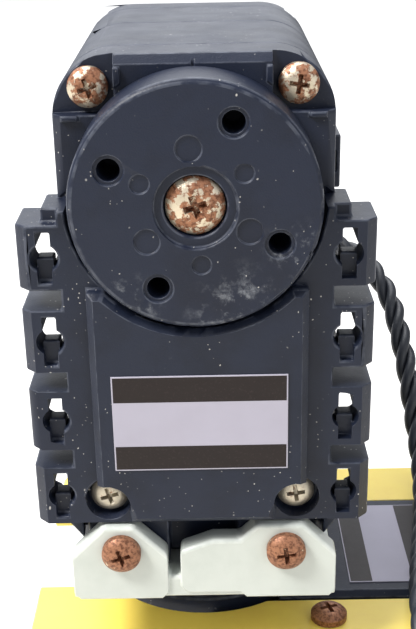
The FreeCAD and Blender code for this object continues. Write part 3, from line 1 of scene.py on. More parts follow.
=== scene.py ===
"""Looks of a pan tilt camera mount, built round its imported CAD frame.

Two servo units with moulded shells, rusted plated screws, a white foot bracket, a yellow plate and a
twisted lead of three wires. Lengths are in metres, in the frame's own axes: +Z is up along the pan
axis and the tilt horn looks towards -Y.
"""

import json
import logging
import math
from collections.abc import Callable
from dataclasses import dataclass, field
from enum import Enum

import bmesh
import bpy
import numpy as np
from mathutils import Matrix, Vector

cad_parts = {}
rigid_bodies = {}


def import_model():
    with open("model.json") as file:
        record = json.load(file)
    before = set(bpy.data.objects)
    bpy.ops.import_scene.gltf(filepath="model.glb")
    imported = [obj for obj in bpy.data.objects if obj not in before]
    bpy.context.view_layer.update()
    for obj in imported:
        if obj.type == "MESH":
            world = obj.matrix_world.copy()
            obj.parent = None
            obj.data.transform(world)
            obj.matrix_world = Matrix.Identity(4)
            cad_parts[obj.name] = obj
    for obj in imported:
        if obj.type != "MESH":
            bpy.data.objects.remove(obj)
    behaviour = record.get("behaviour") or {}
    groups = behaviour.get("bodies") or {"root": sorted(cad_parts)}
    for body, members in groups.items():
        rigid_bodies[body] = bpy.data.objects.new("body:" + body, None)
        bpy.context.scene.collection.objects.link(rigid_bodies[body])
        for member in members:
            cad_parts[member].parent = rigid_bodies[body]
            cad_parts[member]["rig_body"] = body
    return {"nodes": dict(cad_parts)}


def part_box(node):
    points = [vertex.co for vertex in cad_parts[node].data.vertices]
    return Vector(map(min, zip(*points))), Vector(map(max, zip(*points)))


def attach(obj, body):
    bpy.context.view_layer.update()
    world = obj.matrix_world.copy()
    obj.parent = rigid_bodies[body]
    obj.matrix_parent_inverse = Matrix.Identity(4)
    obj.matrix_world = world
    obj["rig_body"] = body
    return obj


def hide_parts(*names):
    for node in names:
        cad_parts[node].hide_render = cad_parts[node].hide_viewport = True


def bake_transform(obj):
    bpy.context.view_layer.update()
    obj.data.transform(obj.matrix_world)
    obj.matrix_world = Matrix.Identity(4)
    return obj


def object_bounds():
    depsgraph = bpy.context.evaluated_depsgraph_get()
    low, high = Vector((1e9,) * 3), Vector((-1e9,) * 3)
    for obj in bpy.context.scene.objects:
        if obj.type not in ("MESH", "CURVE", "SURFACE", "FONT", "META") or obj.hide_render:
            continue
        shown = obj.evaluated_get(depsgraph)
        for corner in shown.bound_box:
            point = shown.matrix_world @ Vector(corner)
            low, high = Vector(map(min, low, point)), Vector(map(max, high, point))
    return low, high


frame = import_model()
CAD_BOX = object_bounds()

log = logging.getLogger("pan_tilt_camera_mount")

MM = 0.001

# Corners closer than this are one corner, and faces that meet under this angle are one flat face.
MERGE = 1e-6
FLAT = math.radians(0.5)

# Edges sharper than this are rounded, and edges sharper than the limit are shaded sharp.
SHARP = math.radians(30.0)
SMOOTH_LIMIT = math.radians(38.0)

# A neighbour edge limits the rounding when the cosine between the two is less than this, and the
# rounding takes at most this share of the room that the neighbour gives.
CROSSWISE = 0.85
ROOM_SHARE = 0.4

# A triangle is folded when the cosine between its normal and its polygon's is less than this and its
# area is more than this. Edges within this many widths of a fold have their weight multiplied by these
# shares in turn, for as long as there is a fold.
FOLDED = 0.5
SMALLEST_FOLD = 1e-9
FOLD_REACH = 1.6
EASING = (0.6, 0.6, 0.5, 0.5, 0.4, 0.0)

Colour = tuple[float, float, float]
Point = tuple[float, float, float]


def rgba(colour: Colour) -> tuple[float, float, float, float]:
    """A colour with full alpha."""
    return (*colour, 1.0)


# ---- node trees ---------------------------------------------------------------------------------


class Wiring:
    """Lays nodes in one shader or geometry tree.

    Args:
        tree: The node tree to fill.
    """

    def __init__(self, tree: bpy.types.NodeTree) -> None:
        """Keeps the tree."""
        self.tree = tree

    def add(self, kind: str, inputs: dict | None = None, **settings: object) -> bpy.types.Node:
        """Adds a node.

        Args:
            kind: The node's type name.
            inputs: Socket name or number to a value or to another node's output socket.
            settings: Properties of the node itself.

        Returns:
            The new node.
        """
        node = self.tree.nodes.new(kind)
        for name, value in settings.items():
            setattr(node, name, value)
        for key, value in (inputs or {}).items():
            if isinstance(value, bpy.types.NodeSocket):
                self.tree.links.new(value, node.inputs[key])
            else:
                node.inputs[key].default_value = value
        return node

    def calc(self, operation: str, *values: object) -> bpy.types.NodeSocket:
        """One arithmetic step on numbers.

        Args:
            operation: A Math node operation.
            values: Numbers or sockets, in order.

        Returns:
            The result's socket.
        """
        node = self.add("ShaderNodeMath", dict(enumerate(values)), operation=operation)
        return node.outputs[0]

    def vector(self, operation: str, *values: object) -> bpy.types.Node:
        """One step on vectors, as a Vector Math node."""
        return self.add("ShaderNodeVectorMath", dict(enumerate(values)), operation=operation)


class Paint(Wiring):
    """A material with a Principled surface and the masks that the finishes share.

    Args:
        name: The material's name.
    """

    def __init__(self, name: str) -> None:
        """Makes the material and finds its surface node.

        Args:
            name: The material's name.
        """
        self.material = bpy.data.materials.new(name)
        self.material.use_nodes = True
        super().__init__(self.material.node_tree)
        self.surface = self.tree.nodes["Principled BSDF"]
        self.spot = self.add("ShaderNodeTexCoord").outputs["Object"]

    def noise(
        self, size: float, detail: float = 3.0, rough: float = 0.55, spot: object = None
    ) -> bpy.types.NodeSocket:
        """A noise from 0 to 1.

        Args:
            size: About how large one patch is, in metres.
            detail: How many finer layers it has.
            rough: How strong the finer layers are.
            spot: Another coordinate socket, or None for the object's own.

        Returns:
            The noise's value socket.
        """
        inputs = {"Vector": spot or self.spot, "Scale": 1.0 / size, "Detail": detail, "Roughness": rough}
        return self.add("ShaderNodeTexNoise", inputs).outputs["Fac"]

    def step(self, value: object, low: float, high: float, top: float = 1.0) -> bpy.types.NodeSocket:
        """Turns a range of a value smoothly into 0 to top.

        Args:
            value: A number or a socket.
            low: The value that gives 0.
            high: The value that gives top.
            top: The largest result.

        Returns:
            The result's socket.
        """
        inputs = {"Value": value, "From Min": low, "From Max": high, "To Min": 0.0, "To Max": top}
        node = self.add("ShaderNodeMapRange", inputs, interpolation_type="SMOOTHSTEP")
        return node.outputs["Result"]

    def specks(self, cell: float, radius: float, share: float) -> bpy.types.NodeSocket:
        """Scattered small dots.

        Args:
            cell: The mean distance between candidate dots, in metres.
            radius: The dots' radius as a share of the cell.
            share: The share of the candidates that show.

        Returns:
            A mask socket.
        """
        reach = 0.9 * cell
        sway = self.vector("MULTIPLY", self.noise_vector(cell), (reach, reach, reach)).outputs[0]
        warped = self.vector("ADD", self.spot, sway).outputs[0]
        cells = self.add("ShaderNodeTexVoronoi", {"Vector": warped, "Scale": 1.0 / cell})
        dots = self.step(cells.outputs["Distance"], radius, radius * 0.6)
        lot = self.add("ShaderNodeSeparateColor", {0: cells.outputs["Color"]}).outputs[0]
        return self.calc("MULTIPLY", dots, self.calc("LESS_THAN", lot, share))

    def noise_vector(self, size: float) -> bpy.types.NodeSocket:
        """A noise vector for bending a pattern."""
        node = self.add("ShaderNodeTexNoise", {"Vector": self.spot, "Scale": 0.7 / size, "Detail": 2.0})
        return node.outputs["Color"]

    def mix(self, share: object, first: object, second: object) -> bpy.types.NodeSocket:
        """A colour between two others.

        Args:
            share: How much of the second colour shows, 0 to 1.
            first: A colour or a socket.
            second: A colour or a socket.

        Returns:
            The mixed colour's socket.
        """
        node = self.add("ShaderNodeMix", data_type="RGBA")
        pairs = ((0, share), (6, first), (7, second))
        for index, value in pairs:
            if isinstance(value, bpy.types.NodeSocket):
                self.tree.links.new(value, node.inputs[index])
            else:
                node.inputs[index].default_value = rgba(value) if isinstance(value, tuple) else value
        return node.outputs[2]

    def worn(self) -> bpy.types.NodeSocket:
        """The mask of softened edges."""
        return self.add("ShaderNodeAttribute", attribute_name="worn").outputs["Fac"]

    def bump(self, height: object, depth: float, under: object = None) -> bpy.types.NodeSocket:
        """A bump of a real depth, on top of another bump.

        Args:
            height: The bump's height, 0 to 1.
            depth: What a height of 1 stands for, in metres.
            under: The normal of the bump below, or None.

        Returns:
            The new normal's socket.
        """
        inputs = {"Height": height, "Distance": depth, "Strength": 1.0}
        if under is not None:
            inputs["Normal"] = under
        return self.add("ShaderNodeBump", inputs).outputs[0]

    def finish(
        self, colour: object, rough: object, normal: object = None, metal: object = 0.0
    ) -> bpy.types.Material:
        """Feeds the surface.

        Args:
            colour: The base colour, or its socket.
            rough: The roughness, or its socket.
            normal: The bumped normal's socket, or None.
            metal: How metallic the surface is, or its socket.

        Returns:
            The finished material.
        """
        pairs = {"Base Color": colour, "Roughness": rough, "Metallic": metal, "Normal": normal}
        for key, value in pairs.items():
            if value is None:
                continue
            if isinstance(value, bpy.types.NodeSocket):
                self.tree.links.new(value, self.surface.inputs[key])
            else:
                self.surface.inputs[key].default_value = rgba(value) if isinstance(value, tuple) else value
        return self.material


# ---- finishes -----------------------------------------------------------------------------------


@dataclass(frozen=True)
class MouldedPlastic:
    """Matt moulded plastic with a fine grain, worn edges and dust.

    Args:
        name: The material's name.
        colour: The plastic's colour.
        shade: The colour of its darker or dirtier patches.
        edge: The colour where edges are rubbed.
        rough: Mean roughness.
        grain: Depth of the grain in metres.
        dust: The share of dust specks.
        edge_share: How strongly the edges are rubbed.
        grime: How far the darker patches take over.
        gloss: Strength of the mirror-like part.
    """

    name: str
    colour: Colour
    shade: Colour
    edge: Colour
    rough: float = 0.5
    grain: float = 0.000012
    dust: float = 0.25
    edge_share: float = 0.6
    grime: float = 0.6
    gloss: float = 0.5

    def material(self) -> bpy.types.Material:
        """Builds the material.

        Returns:
            The new material.
        """
        paint = Paint(self.name)
        colour = self.coat(paint)
        fine = paint.bump(paint.noise(0.16 * MM, 2.0), self.grain)
        normal = paint.bump(paint.noise(1.8 * MM, 3.0), self.grain * 1.6, fine)
        wide = paint.noise(4.0 * MM, 4.0)
        paint.surface.inputs["Specular IOR Level"].default_value = self.gloss
        rough = paint.calc("ADD", paint.calc("MULTIPLY", wide, 0.22), self.rough - 0.11)
        return paint.finish(colour, rough, normal)

    def coat(self, paint: Paint) -> bpy.types.NodeSocket:
        """The colour with its patches, rubbed edges and dust.

        Args:
            paint: The material that it belongs to.

        Returns:
            The colour's socket.
        """
        patches = paint.step(paint.noise(6.0 * MM, 5.0, 0.62), 0.42, 0.7, self.grime)
        colour = paint.mix(patches, self.colour, self.shade)
        rub = paint.calc("MULTIPLY", paint.worn(), paint.step(paint.noise(1.3 * MM, 4.0), 0.34, 0.62))
        colour = paint.mix(paint.calc("MULTIPLY", rub, self.edge_share), colour, self.edge)
        if self.dust > 0:
            fine = paint.specks(0.5 * MM, 0.15, self.dust)
            coarse = paint.specks(2.1 * MM, 0.075, self.dust)
            where = paint.step(paint.noise(7.0 * MM, 2.0), 0.4, 0.62)
            dots = paint.calc("MULTIPLY", paint.calc("MAXIMUM", fine, coarse), where)
            colour = paint.mix(paint.calc("MULTIPLY", dots, 0.75), colour, (0.62, 0.6, 0.58))
        return colour


@dataclass(frozen=True)
class ChalkedPlastic(MouldedPlastic):
    """Moulded plastic with pale chalky scuffs round some places.

    Args:
        chalk: The scuffs' colour.
        spots: Each a centre and a reach, in metres.
    """

    chalk: Colour = (0.36, 0.38, 0.42)
    spots: tuple[tuple[Point, float], ...] = ()

    def coat(self, paint: Paint) -> bpy.types.NodeSocket:
        """The plastic's colour under the scuffs.

        Args:
            paint: The material that it belongs to.

        Returns:
            The colour's socket.
        """
        colour = super().coat(paint)
        streaks = paint.step(paint.noise(1.6 * MM, 8.0, 0.72), 0.49, 0.74)
        for centre, reach in self.spots:
            away = paint.vector("DISTANCE", paint.spot, centre).outputs["Value"]
            mask = paint.calc("MULTIPLY", paint.step(away, reach, reach * 0.15), streaks)
            colour = paint.mix(paint.calc("MULTIPLY", mask, 0.7), colour, self.chalk)
        return colour


@dataclass(frozen=True)
class RustedPlating:
    """Zinc plated steel gone copper brown in blotches.

    Args:
        name: The material's name.
        share: How much of the plating is rusted, 0 to 1.
        zinc: The plating's colour.
        rust: The light rust.
        deep: The dark rust.
    """

    name: str
    share: float
    zinc: Colour = (0.6, 0.52, 0.4)
    rust: Colour = (0.34, 0.155, 0.085)
    deep: Colour = (0.13, 0.048, 0.024)

    def material(self) -> bpy.types.Material:
        """Builds the material.

        Returns:
            The new material.
        """
        paint = Paint(self.name)
        blotch = paint.noise(1.0 * MM, 5.0, 0.66)
        edge = 0.68 - 0.42 * self.share
        rusted = paint.step(blotch, edge - 0.035, edge + 0.035)
        tone = paint.step(paint.noise(0.3 * MM, 4.0), 0.4, 0.66)
        brown = paint.mix(tone, self.rust, self.deep)
        pale = paint.mix(paint.noise(0.9 * MM, 3.0), self.zinc, (0.74, 0.66, 0.54))
        colour = paint.mix(rusted, pale, brown)
        metal = paint.calc("SUBTRACT", 0.85, paint.calc("MULTIPLY", rusted, 0.45))
        rough = paint.calc("ADD", 0.3, paint.calc("MULTIPLY", paint.noise(0.25 * MM, 3.0), 0.34))
        normal = paint.bump(blotch, 0.05 * MM, paint.bump(paint.noise(0.12 * MM, 3.0), 0.02 * MM))
        return paint.finish(colour, rough, normal, metal)


class Along(Enum):
    """The axis along which a label's bands follow each other."""

    X = 0
    Z = 2


@dataclass(frozen=True)
class PrintedBands:
    """A glossy label: a pale band between two dark ones, inside a thin pale border.

    Args:
        name: The material's name.
        node: The CAD node whose box the bands fill.
        along: The axis that crosses the bands.
        across: The label's other axis number.
        dark: The two outer bands' colour.
        pale: The middle band's and the border's colour.
        border: The border's width in metres.
        lower: Where the pale band starts, as a share of the label's length.
        upper: Where it ends.
    """

    name: str
    node: str
    along: Along
    across: int
    dark: Colour = (0.012, 0.0075, 0.0085)
    pale: Colour = (0.4, 0.385, 0.475)
    border: float = 0.13 * MM
    lower: float = 0.262
    upper: float = 0.728

    def material(self) -> bpy.types.Material:
        """Builds the material.

        Returns:
            The new material.
        """
        paint = Paint(self.name)
        low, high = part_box(self.node)
        parts = paint.add("ShaderNodeSeparateXYZ", {0: paint.spot}).outputs
        position = parts[self.along.value]
        start, end = low[self.along.value], high[self.along.value]
        first, last = start + self.lower * (end - start), start + self.upper * (end - start)
        above, below = paint.calc("GREATER_THAN", position, first), paint.calc("LESS_THAN", position, last)
        middle = paint.calc("MULTIPLY", above, below)
        rims = []
        for axis in (self.along.value, self.across):
            centre, half = (low[axis] + high[axis]) / 2, (high[axis] - low[axis]) / 2
            away = paint.calc("ABSOLUTE", paint.calc("SUBTRACT", parts[axis], centre))
            rims.append(paint.calc("GREATER_THAN", away, half - self.border))
        light = paint.calc("MAXIMUM", middle, paint.calc("MAXIMUM", rims[0], rims[1]))
        fleck = paint.step(paint.noise(0.2 * MM, 3.0), 0.56, 0.72, 0.3)
        dark = paint.mix(fleck, self.dark, (0.05, 0.035, 0.036))
        pale = paint.mix(paint.noise(3.0 * MM, 3.0), self.pale, (0.36, 0.345, 0.42))
        colour = paint.mix(light, dark, pale)
        rough = paint.calc("ADD", 0.34, paint.calc("MULTIPLY", paint.noise(1.2 * MM), 0.2))
        normal = paint.bump(paint.noise(0.5 * MM, 2.0), 0.006 * MM)
        paint.surface.inputs["Specular IOR Level"].default_value = 0.28
        return paint.finish(colour, rough, normal)


@dataclass(frozen=True)
class TurnedMetal:
    """Machined or drawn metal with fine brushed streaks.

    Args:
        name: The material's name.
        colour: The metal's colour.
        rough: Mean roughness.
        streak: How far the streaks are drawn out along Z.
    """

    name: str
    colour: Colour
    rough: float = 0.3
    streak: float = 0.05

    def material(self) -> bpy.types.Material:
        """Builds the material.

        Returns:
            The new material.
        """
        paint = Paint(self.name)
        inputs = {"Vector": paint.spot, "Scale": (1.0, 1.0, self.streak)}
        drawn = paint.add("ShaderNodeMapping", inputs).outputs[0]
        lines = paint.noise(0.12 * MM, 4.0, 0.6, drawn)
        stain = paint.step(paint.noise(2.0 * MM, 4.0), 0.45, 0.75, 0.5)
        dull = tuple(0.62 * channel for channel in self.colour)
        colour = paint.mix(stain, self.colour, dull)
        rough = paint.calc("ADD", self.rough - 0.08, paint.calc("MULTIPLY", lines, 0.22))
        return paint.finish(colour, rough, paint.bump(lines, 0.006 * MM), 1.0)


@dataclass(frozen=True)
class Insulation:
    """The wires' sleeve: dark, a little glossy, with patches of dust.

    Args:
        name: The material's name.
        colour: The sleeve's colour.
    """

    name: str
    colour: Colour = (0.012, 0.0155, 0.024)

    def material(self) -> bpy.types.Material:
        """Builds the material.

        Returns:
            The new material.
        """
        paint = Paint(self.name)
        dusty = paint.step(paint.noise(1.2 * MM, 5.0, 0.65), 0.5, 0.78, 0.3)
        colour = paint.mix(dusty, self.colour, (0.1, 0.11, 0.13))
        rough = paint.calc("ADD", 0.36, paint.calc("MULTIPLY", paint.noise(0.8 * MM, 3.0), 0.24))
        return paint.finish(colour, rough, paint.bump(paint.noise(0.3 * MM, 2.0), 0.01 * MM))


@dataclass(frozen=True)
class Laminate:
    """A circuit board: solder mask over copper tracks.

    Args:
        name: The material's name.
        mask: The mask's colour on the bare board.
        track: The mask's colour over a track.
        crowding: How many cells of the track pattern fit in a metre.
    """

    name: str
    mask: Colour = (0.012, 0.09, 0.04)
    track: Colour = (0.03, 0.19, 0.08)
    crowding: float = 700.0

    def material(self) -> bpy.types.Material:
        """Builds the material.

        Returns:
            The new material.
        """
        paint = Paint(self.name)
        inputs = {"Vector": paint.spot, "Scale": self.crowding}
        cells = paint.add("ShaderNodeTexVoronoi", inputs, distance="CHEBYCHEV", feature="F1")
        tracks = paint.step(cells.outputs["Distance"], 0.3, 0.36)
        colour = paint.mix(tracks, self.mask, self.track)
        rough = paint.calc("ADD", 0.22, paint.calc("MULTIPLY", paint.noise(1.0 * MM), 0.2))
        return paint.finish(colour, rough, paint.bump(tracks, 0.03 * MM))


CHARCOAL = ChalkedPlastic(
    "charcoal_case",
    colour=(0.0125, 0.0172, 0.0345),
    shade=(0.0085, 0.0108, 0.0205),
    edge=(0.08, 0.09, 0.12),
    rough=0.42,
    grain=0.00002,
    dust=0.42,
    gloss=0.26,
)
BRACKET_WHITE = MouldedPlastic(
    "bracket_white",
    colour=(0.55, 0.585, 0.555),
    shade=(0.45, 0.49, 0.46),
    edge=(0.68, 0.71, 0.68),
    rough=0.36,
    grain=0.000005,
    dust=0.0,
    edge_share=0.5,
    grime=0.5,
)
PLATE_YELLOW = MouldedPlastic(
    "plate_yellow",
    colour=(0.88, 0.68, 0.125),
    shade=(0.8, 0.56, 0.11),
    edge=(0.92, 0.76, 0.3),
    rough=0.42,
    grain=0.000006,
    dust=0.06,
    edge_share=0.5,
    grime=0.45,
)
SPACER_BLACK = MouldedPlastic(
    "spacer_black", colour=(0.026, 0.028, 0.036), shade=(0.015, 0.016, 0.02), edge=(0.13, 0.14, 0.16)
)
CONNECTOR = MouldedPlastic(
    "connector_black",
    colour=(0.03, 0.031, 0.035),
    shade=(0.018, 0.018, 0.02),
    edge=(0.14, 0.14, 0.15),
    rough=0.38,
    dust=0.1,
)
GEAR_CREAM = MouldedPlastic(
    "gear_cream",
    colour=(0.72, 0.7, 0.6),
    shade=(0.6, 0.55, 0.4),
    edge=(0.8, 0.78, 0.7),
    rough=0.34,
    dust=0.0,
)
SENSOR_BLUE = MouldedPlastic(
    "sensor_blue", colour=(0.03, 0.08, 0.2), shade=(0.02, 0.05, 0.13), edge=(0.1, 0.2, 0.4), dust=0.0
)


# ---- meshes -------------------------------------------------------------------------------------


def link(name: str, mesh: bpy.types.Mesh) -> bpy.types.Object:
    """An object at the origin with a mesh.

    Args:
        name: The object's name.
        mesh: Its mesh.

    Returns:
        The new object, which is in the scene.
    """
    item = bpy.data.objects.new(name, mesh)
    bpy.context.scene.collection.objects.link(item)
    return item


def applied(item: bpy.types.Object) -> bpy.types.Mesh:
    """The mesh of an object with its modifiers worked in. The object is removed.

    Args:
        item: An object with live modifiers.

    Returns:
        A new plain mesh.
    """
    bpy.context.view_layer.update()
    graph = bpy.context.evaluated_depsgraph_get()
    shaped = item.evaluated_get(graph)
    mesh = bpy.data.meshes.new_from_object(shaped, preserve_all_data_layers=True, depsgraph=graph)
    bpy.data.objects.remove(item)
    return mesh


def merged(node: str) -> bmesh.types.BMesh:
    """A copy of a CAD node's mesh with its corners joined and its flat faces whole.

    Args:
        node: The CAD node.

    Returns:
        The shape, which the caller frees.
    """
    shape = bmesh.new()
    shape.from_mesh(frame["nodes"][node].data)
    bmesh.ops.remove_doubles(shape, verts=shape.verts, dist=MERGE)
    bmesh.ops.dissolve_limit(shape, angle_limit=FLAT, verts=shape.verts, edges=shape.edges)
    return shape


def room_at(edge: bmesh.types.BMEdge) -> float:
    """How far a bevel of this edge can reach before it meets a neighbour.

    Args:
        edge: A sharp edge.

    Returns:
        The least reach of the edges that cross it at its ends, in metres.
    """
    along = (edge.verts[1].co - edge.verts[0].co).normalized()
    room = 1.0
    for corner in edge.verts:
        for other in corner.link_edges:
            if other is edge:
                continue
            away = other.other_vert(corner).co - corner.co
            straight = abs(away.normalized().dot(along)) if away.length > 0 else 1.0
            if straight < CROSSWISE:
                room = min(room, away.length * math.sqrt(1 - straight * straight))
    return room


def rounded(name: str, shape: bmesh.types.BMesh, width: float, segments: int) -> bpy.types.Mesh:
    """A shape's mesh with its weighted edges rounded. The rounding has material index 1.

    Args:
        name: The name of the working object.
        shape: The sharp shape, with bevel weights.
        width: The rounding's reach at full weight.
        segments: The rounding's facets.

    Returns:
        A new mesh.
    """
    mesh = bpy.data.meshes.new(name)
    shape.to_mesh(mesh)
    mesh.materials.append(None)
    mesh.materials.append(None)
    item = link(name, mesh)
    bevel = item.modifiers.new("rounding", "BEVEL")
    bevel.limit_method = "WEIGHT"
    bevel.width = width
    bevel.segments = segments
    bevel.material = 1
    bevel.use_clamp_overlap = False
    bevel.loop_slide = False
    bevel.miter_outer = "MITER_SHARP"
    return applied(item)


def folds(mesh: bpy.types.Mesh) -> np.ndarray:
    """Corners of the triangles that face against the polygon they belong to.

    Args:
        mesh: A mesh whose faces may be bent over themselves.

    Returns:
        The corners' places, one row each.
    """
    mesh.calc_loop_triangles()
    count = len(mesh.loop_triangles)
    normals, areas = np.zeros(count * 3, np.float32), np.zeros(count, np.float32)
    owners, corners = np.zeros(count, np.int32), np.zeros(count * 3, np.int32)
    mesh.loop_triangles.foreach_get("normal", normals)
    mesh.loop_triangles.foreach_get("area", areas)
    mesh.loop_triangles.foreach_get("polygon_index", owners)
    mesh.loop_triangles.foreach_get("vertices", corners)
    whole = np.zeros(len(mesh.polygons) * 3, np.float32)
    mesh.polygons.foreach_get("normal", whole)
    spots = np.zeros(len(mesh.vertices) * 3, np.float32)
    mesh.vertices.foreach_get("co", spots)
    agree = (normals.reshape(-1, 3) * whole.reshape(-1, 3)[owners]).sum(axis=1)
    bad = (agree < FOLDED) & (areas > SMALLEST_FOLD)
    return spots.reshape(-1, 3)[corners.reshape(-1, 3)[bad].ravel()]


def ease(shape: bmesh.types.BMesh, weight: object, places: np.ndarray, reach: float, share: float) -> None:
    """Lessens the rounding of the edges that pass close to some places.

    Args:
        shape: The sharp shape, with bevel weights.
        weight: Its layer of bevel weights.
        places: The places, one row each.
        reach: How close an edge has to pass, in metres.
        share: What the edge's weight is multiplied by.
    """
    for edge in shape.edges:
        if edge[weight] <= 0:
            continue
        start, end = (np.array(vert.co) for vert in edge.verts)
        along = end - start
        span = max(float(along @ along), 1e-16)
        part = np.clip((places - start) @ along / span, 0.0, 1.0)
        away = np.linalg.norm(places - start - part[:, None] * along, axis=1)
        if away.min() < reach:
            edge[weight] *= share


def softened(node: str, width: float, segments: int = 2) -> bpy.types.Object:
    """A copy of a CAD node with rounded edges, marked worn, where they have room.

    Args:
        node: The CAD node to copy.
        width: The rounding's reach from the edge, in metres.
        segments: The rounding's facets.

    Returns:
        The new object, which stands for the node.
    """
    shape = merged(node)
    weight = shape.edges.layers.float.new("bevel_weight_edge")
    for edge in shape.edges:
        if edge.is_manifold and edge.calc_face_angle(0.0) > SHARP:
            edge[weight] = min(1.0, ROOM_SHARE * room_at(edge) / width)
    mesh = rounded(f"{node}_form", shape, width, segments)
    for share in EASING:
        places = folds(mesh)
        if len(places) == 0:
            break
        ease(shape, weight, places, FOLD_REACH * width, share)
        bpy.data.meshes.remove(mesh)
        mesh = rounded(f"{node}_form", shape, width, segments)
    log.debug("%s: %d folded corners left", node, len(folds(mesh)))
    shape.free()
    index = np.zeros(len(mesh.polygons), np.int32)
    mesh.polygons.foreach_get("material_index", index)
    mesh.attributes.new("worn", "FLOAT", "FACE").data.foreach_set("value", index.astype(np.float32))
    mesh.polygons.foreach_set("material_index", np.zeros(len(mesh.polygons), np.int32))
    mesh.materials.clear()
    mesh.shade_smooth()
    mesh.set_sharp_from_angle(angle=SMOOTH_LIMIT)
    item = link(f"{node}_form", mesh)
    even = item.modifiers.new("even_shading", "WEIGHTED_NORMAL")
    even.keep_sharp = True
    return stand_for(link(f"{node}_shape", applied(item)), node)


def stand_for(item: bpy.types.Object, *nodes: str) -> bpy.types.Object:
    """Lets an object ride on its node's body and replace the nodes.

    Args:
        item: The finished piece.
        nodes: The CAD nodes that it stands for.

    Returns:
        The same piece.
    """
    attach(item, frame["nodes"][nodes[0]]["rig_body"])
    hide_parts(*nodes)
    return item


def dress(item: bpy.types.Object, material: bpy.types.Material) -> None:
    """Gives an object one material all over."""
    item.data.materials.clear()
    item.data.materials.append(material)


def islands(node: str) -> list[tuple[Vector, Vector]]:
    """The box of each separate solid in a CAD node, in a steady order.

    Args:
        node: The CAD node.

    Returns:
        The lowest and the highest corner of each solid.
    """
    shape = merged(node)
    left = set(shape.verts)
    boxes = []
    while left:
        grown, edge = set(), [left.pop()]
        while edge:
            vert = edge.pop()
            grown.add(vert)
            for joined in vert.link_edges:
                other = joined.other_vert(vert)
                if other in left:
                    left.remove(other)
                    edge.append(other)
        spots = np.array([vert.co for vert in grown])
        boxes.append((Vector(spots.min(0)), Vector(spots.max(0))))
    shape.free()
    return sorted(boxes, key=lambda pair: tuple(round(value, 5) for value in (*pair[0], *pair[1])))


# ---- screws -------------------------------------------------------------------------------------


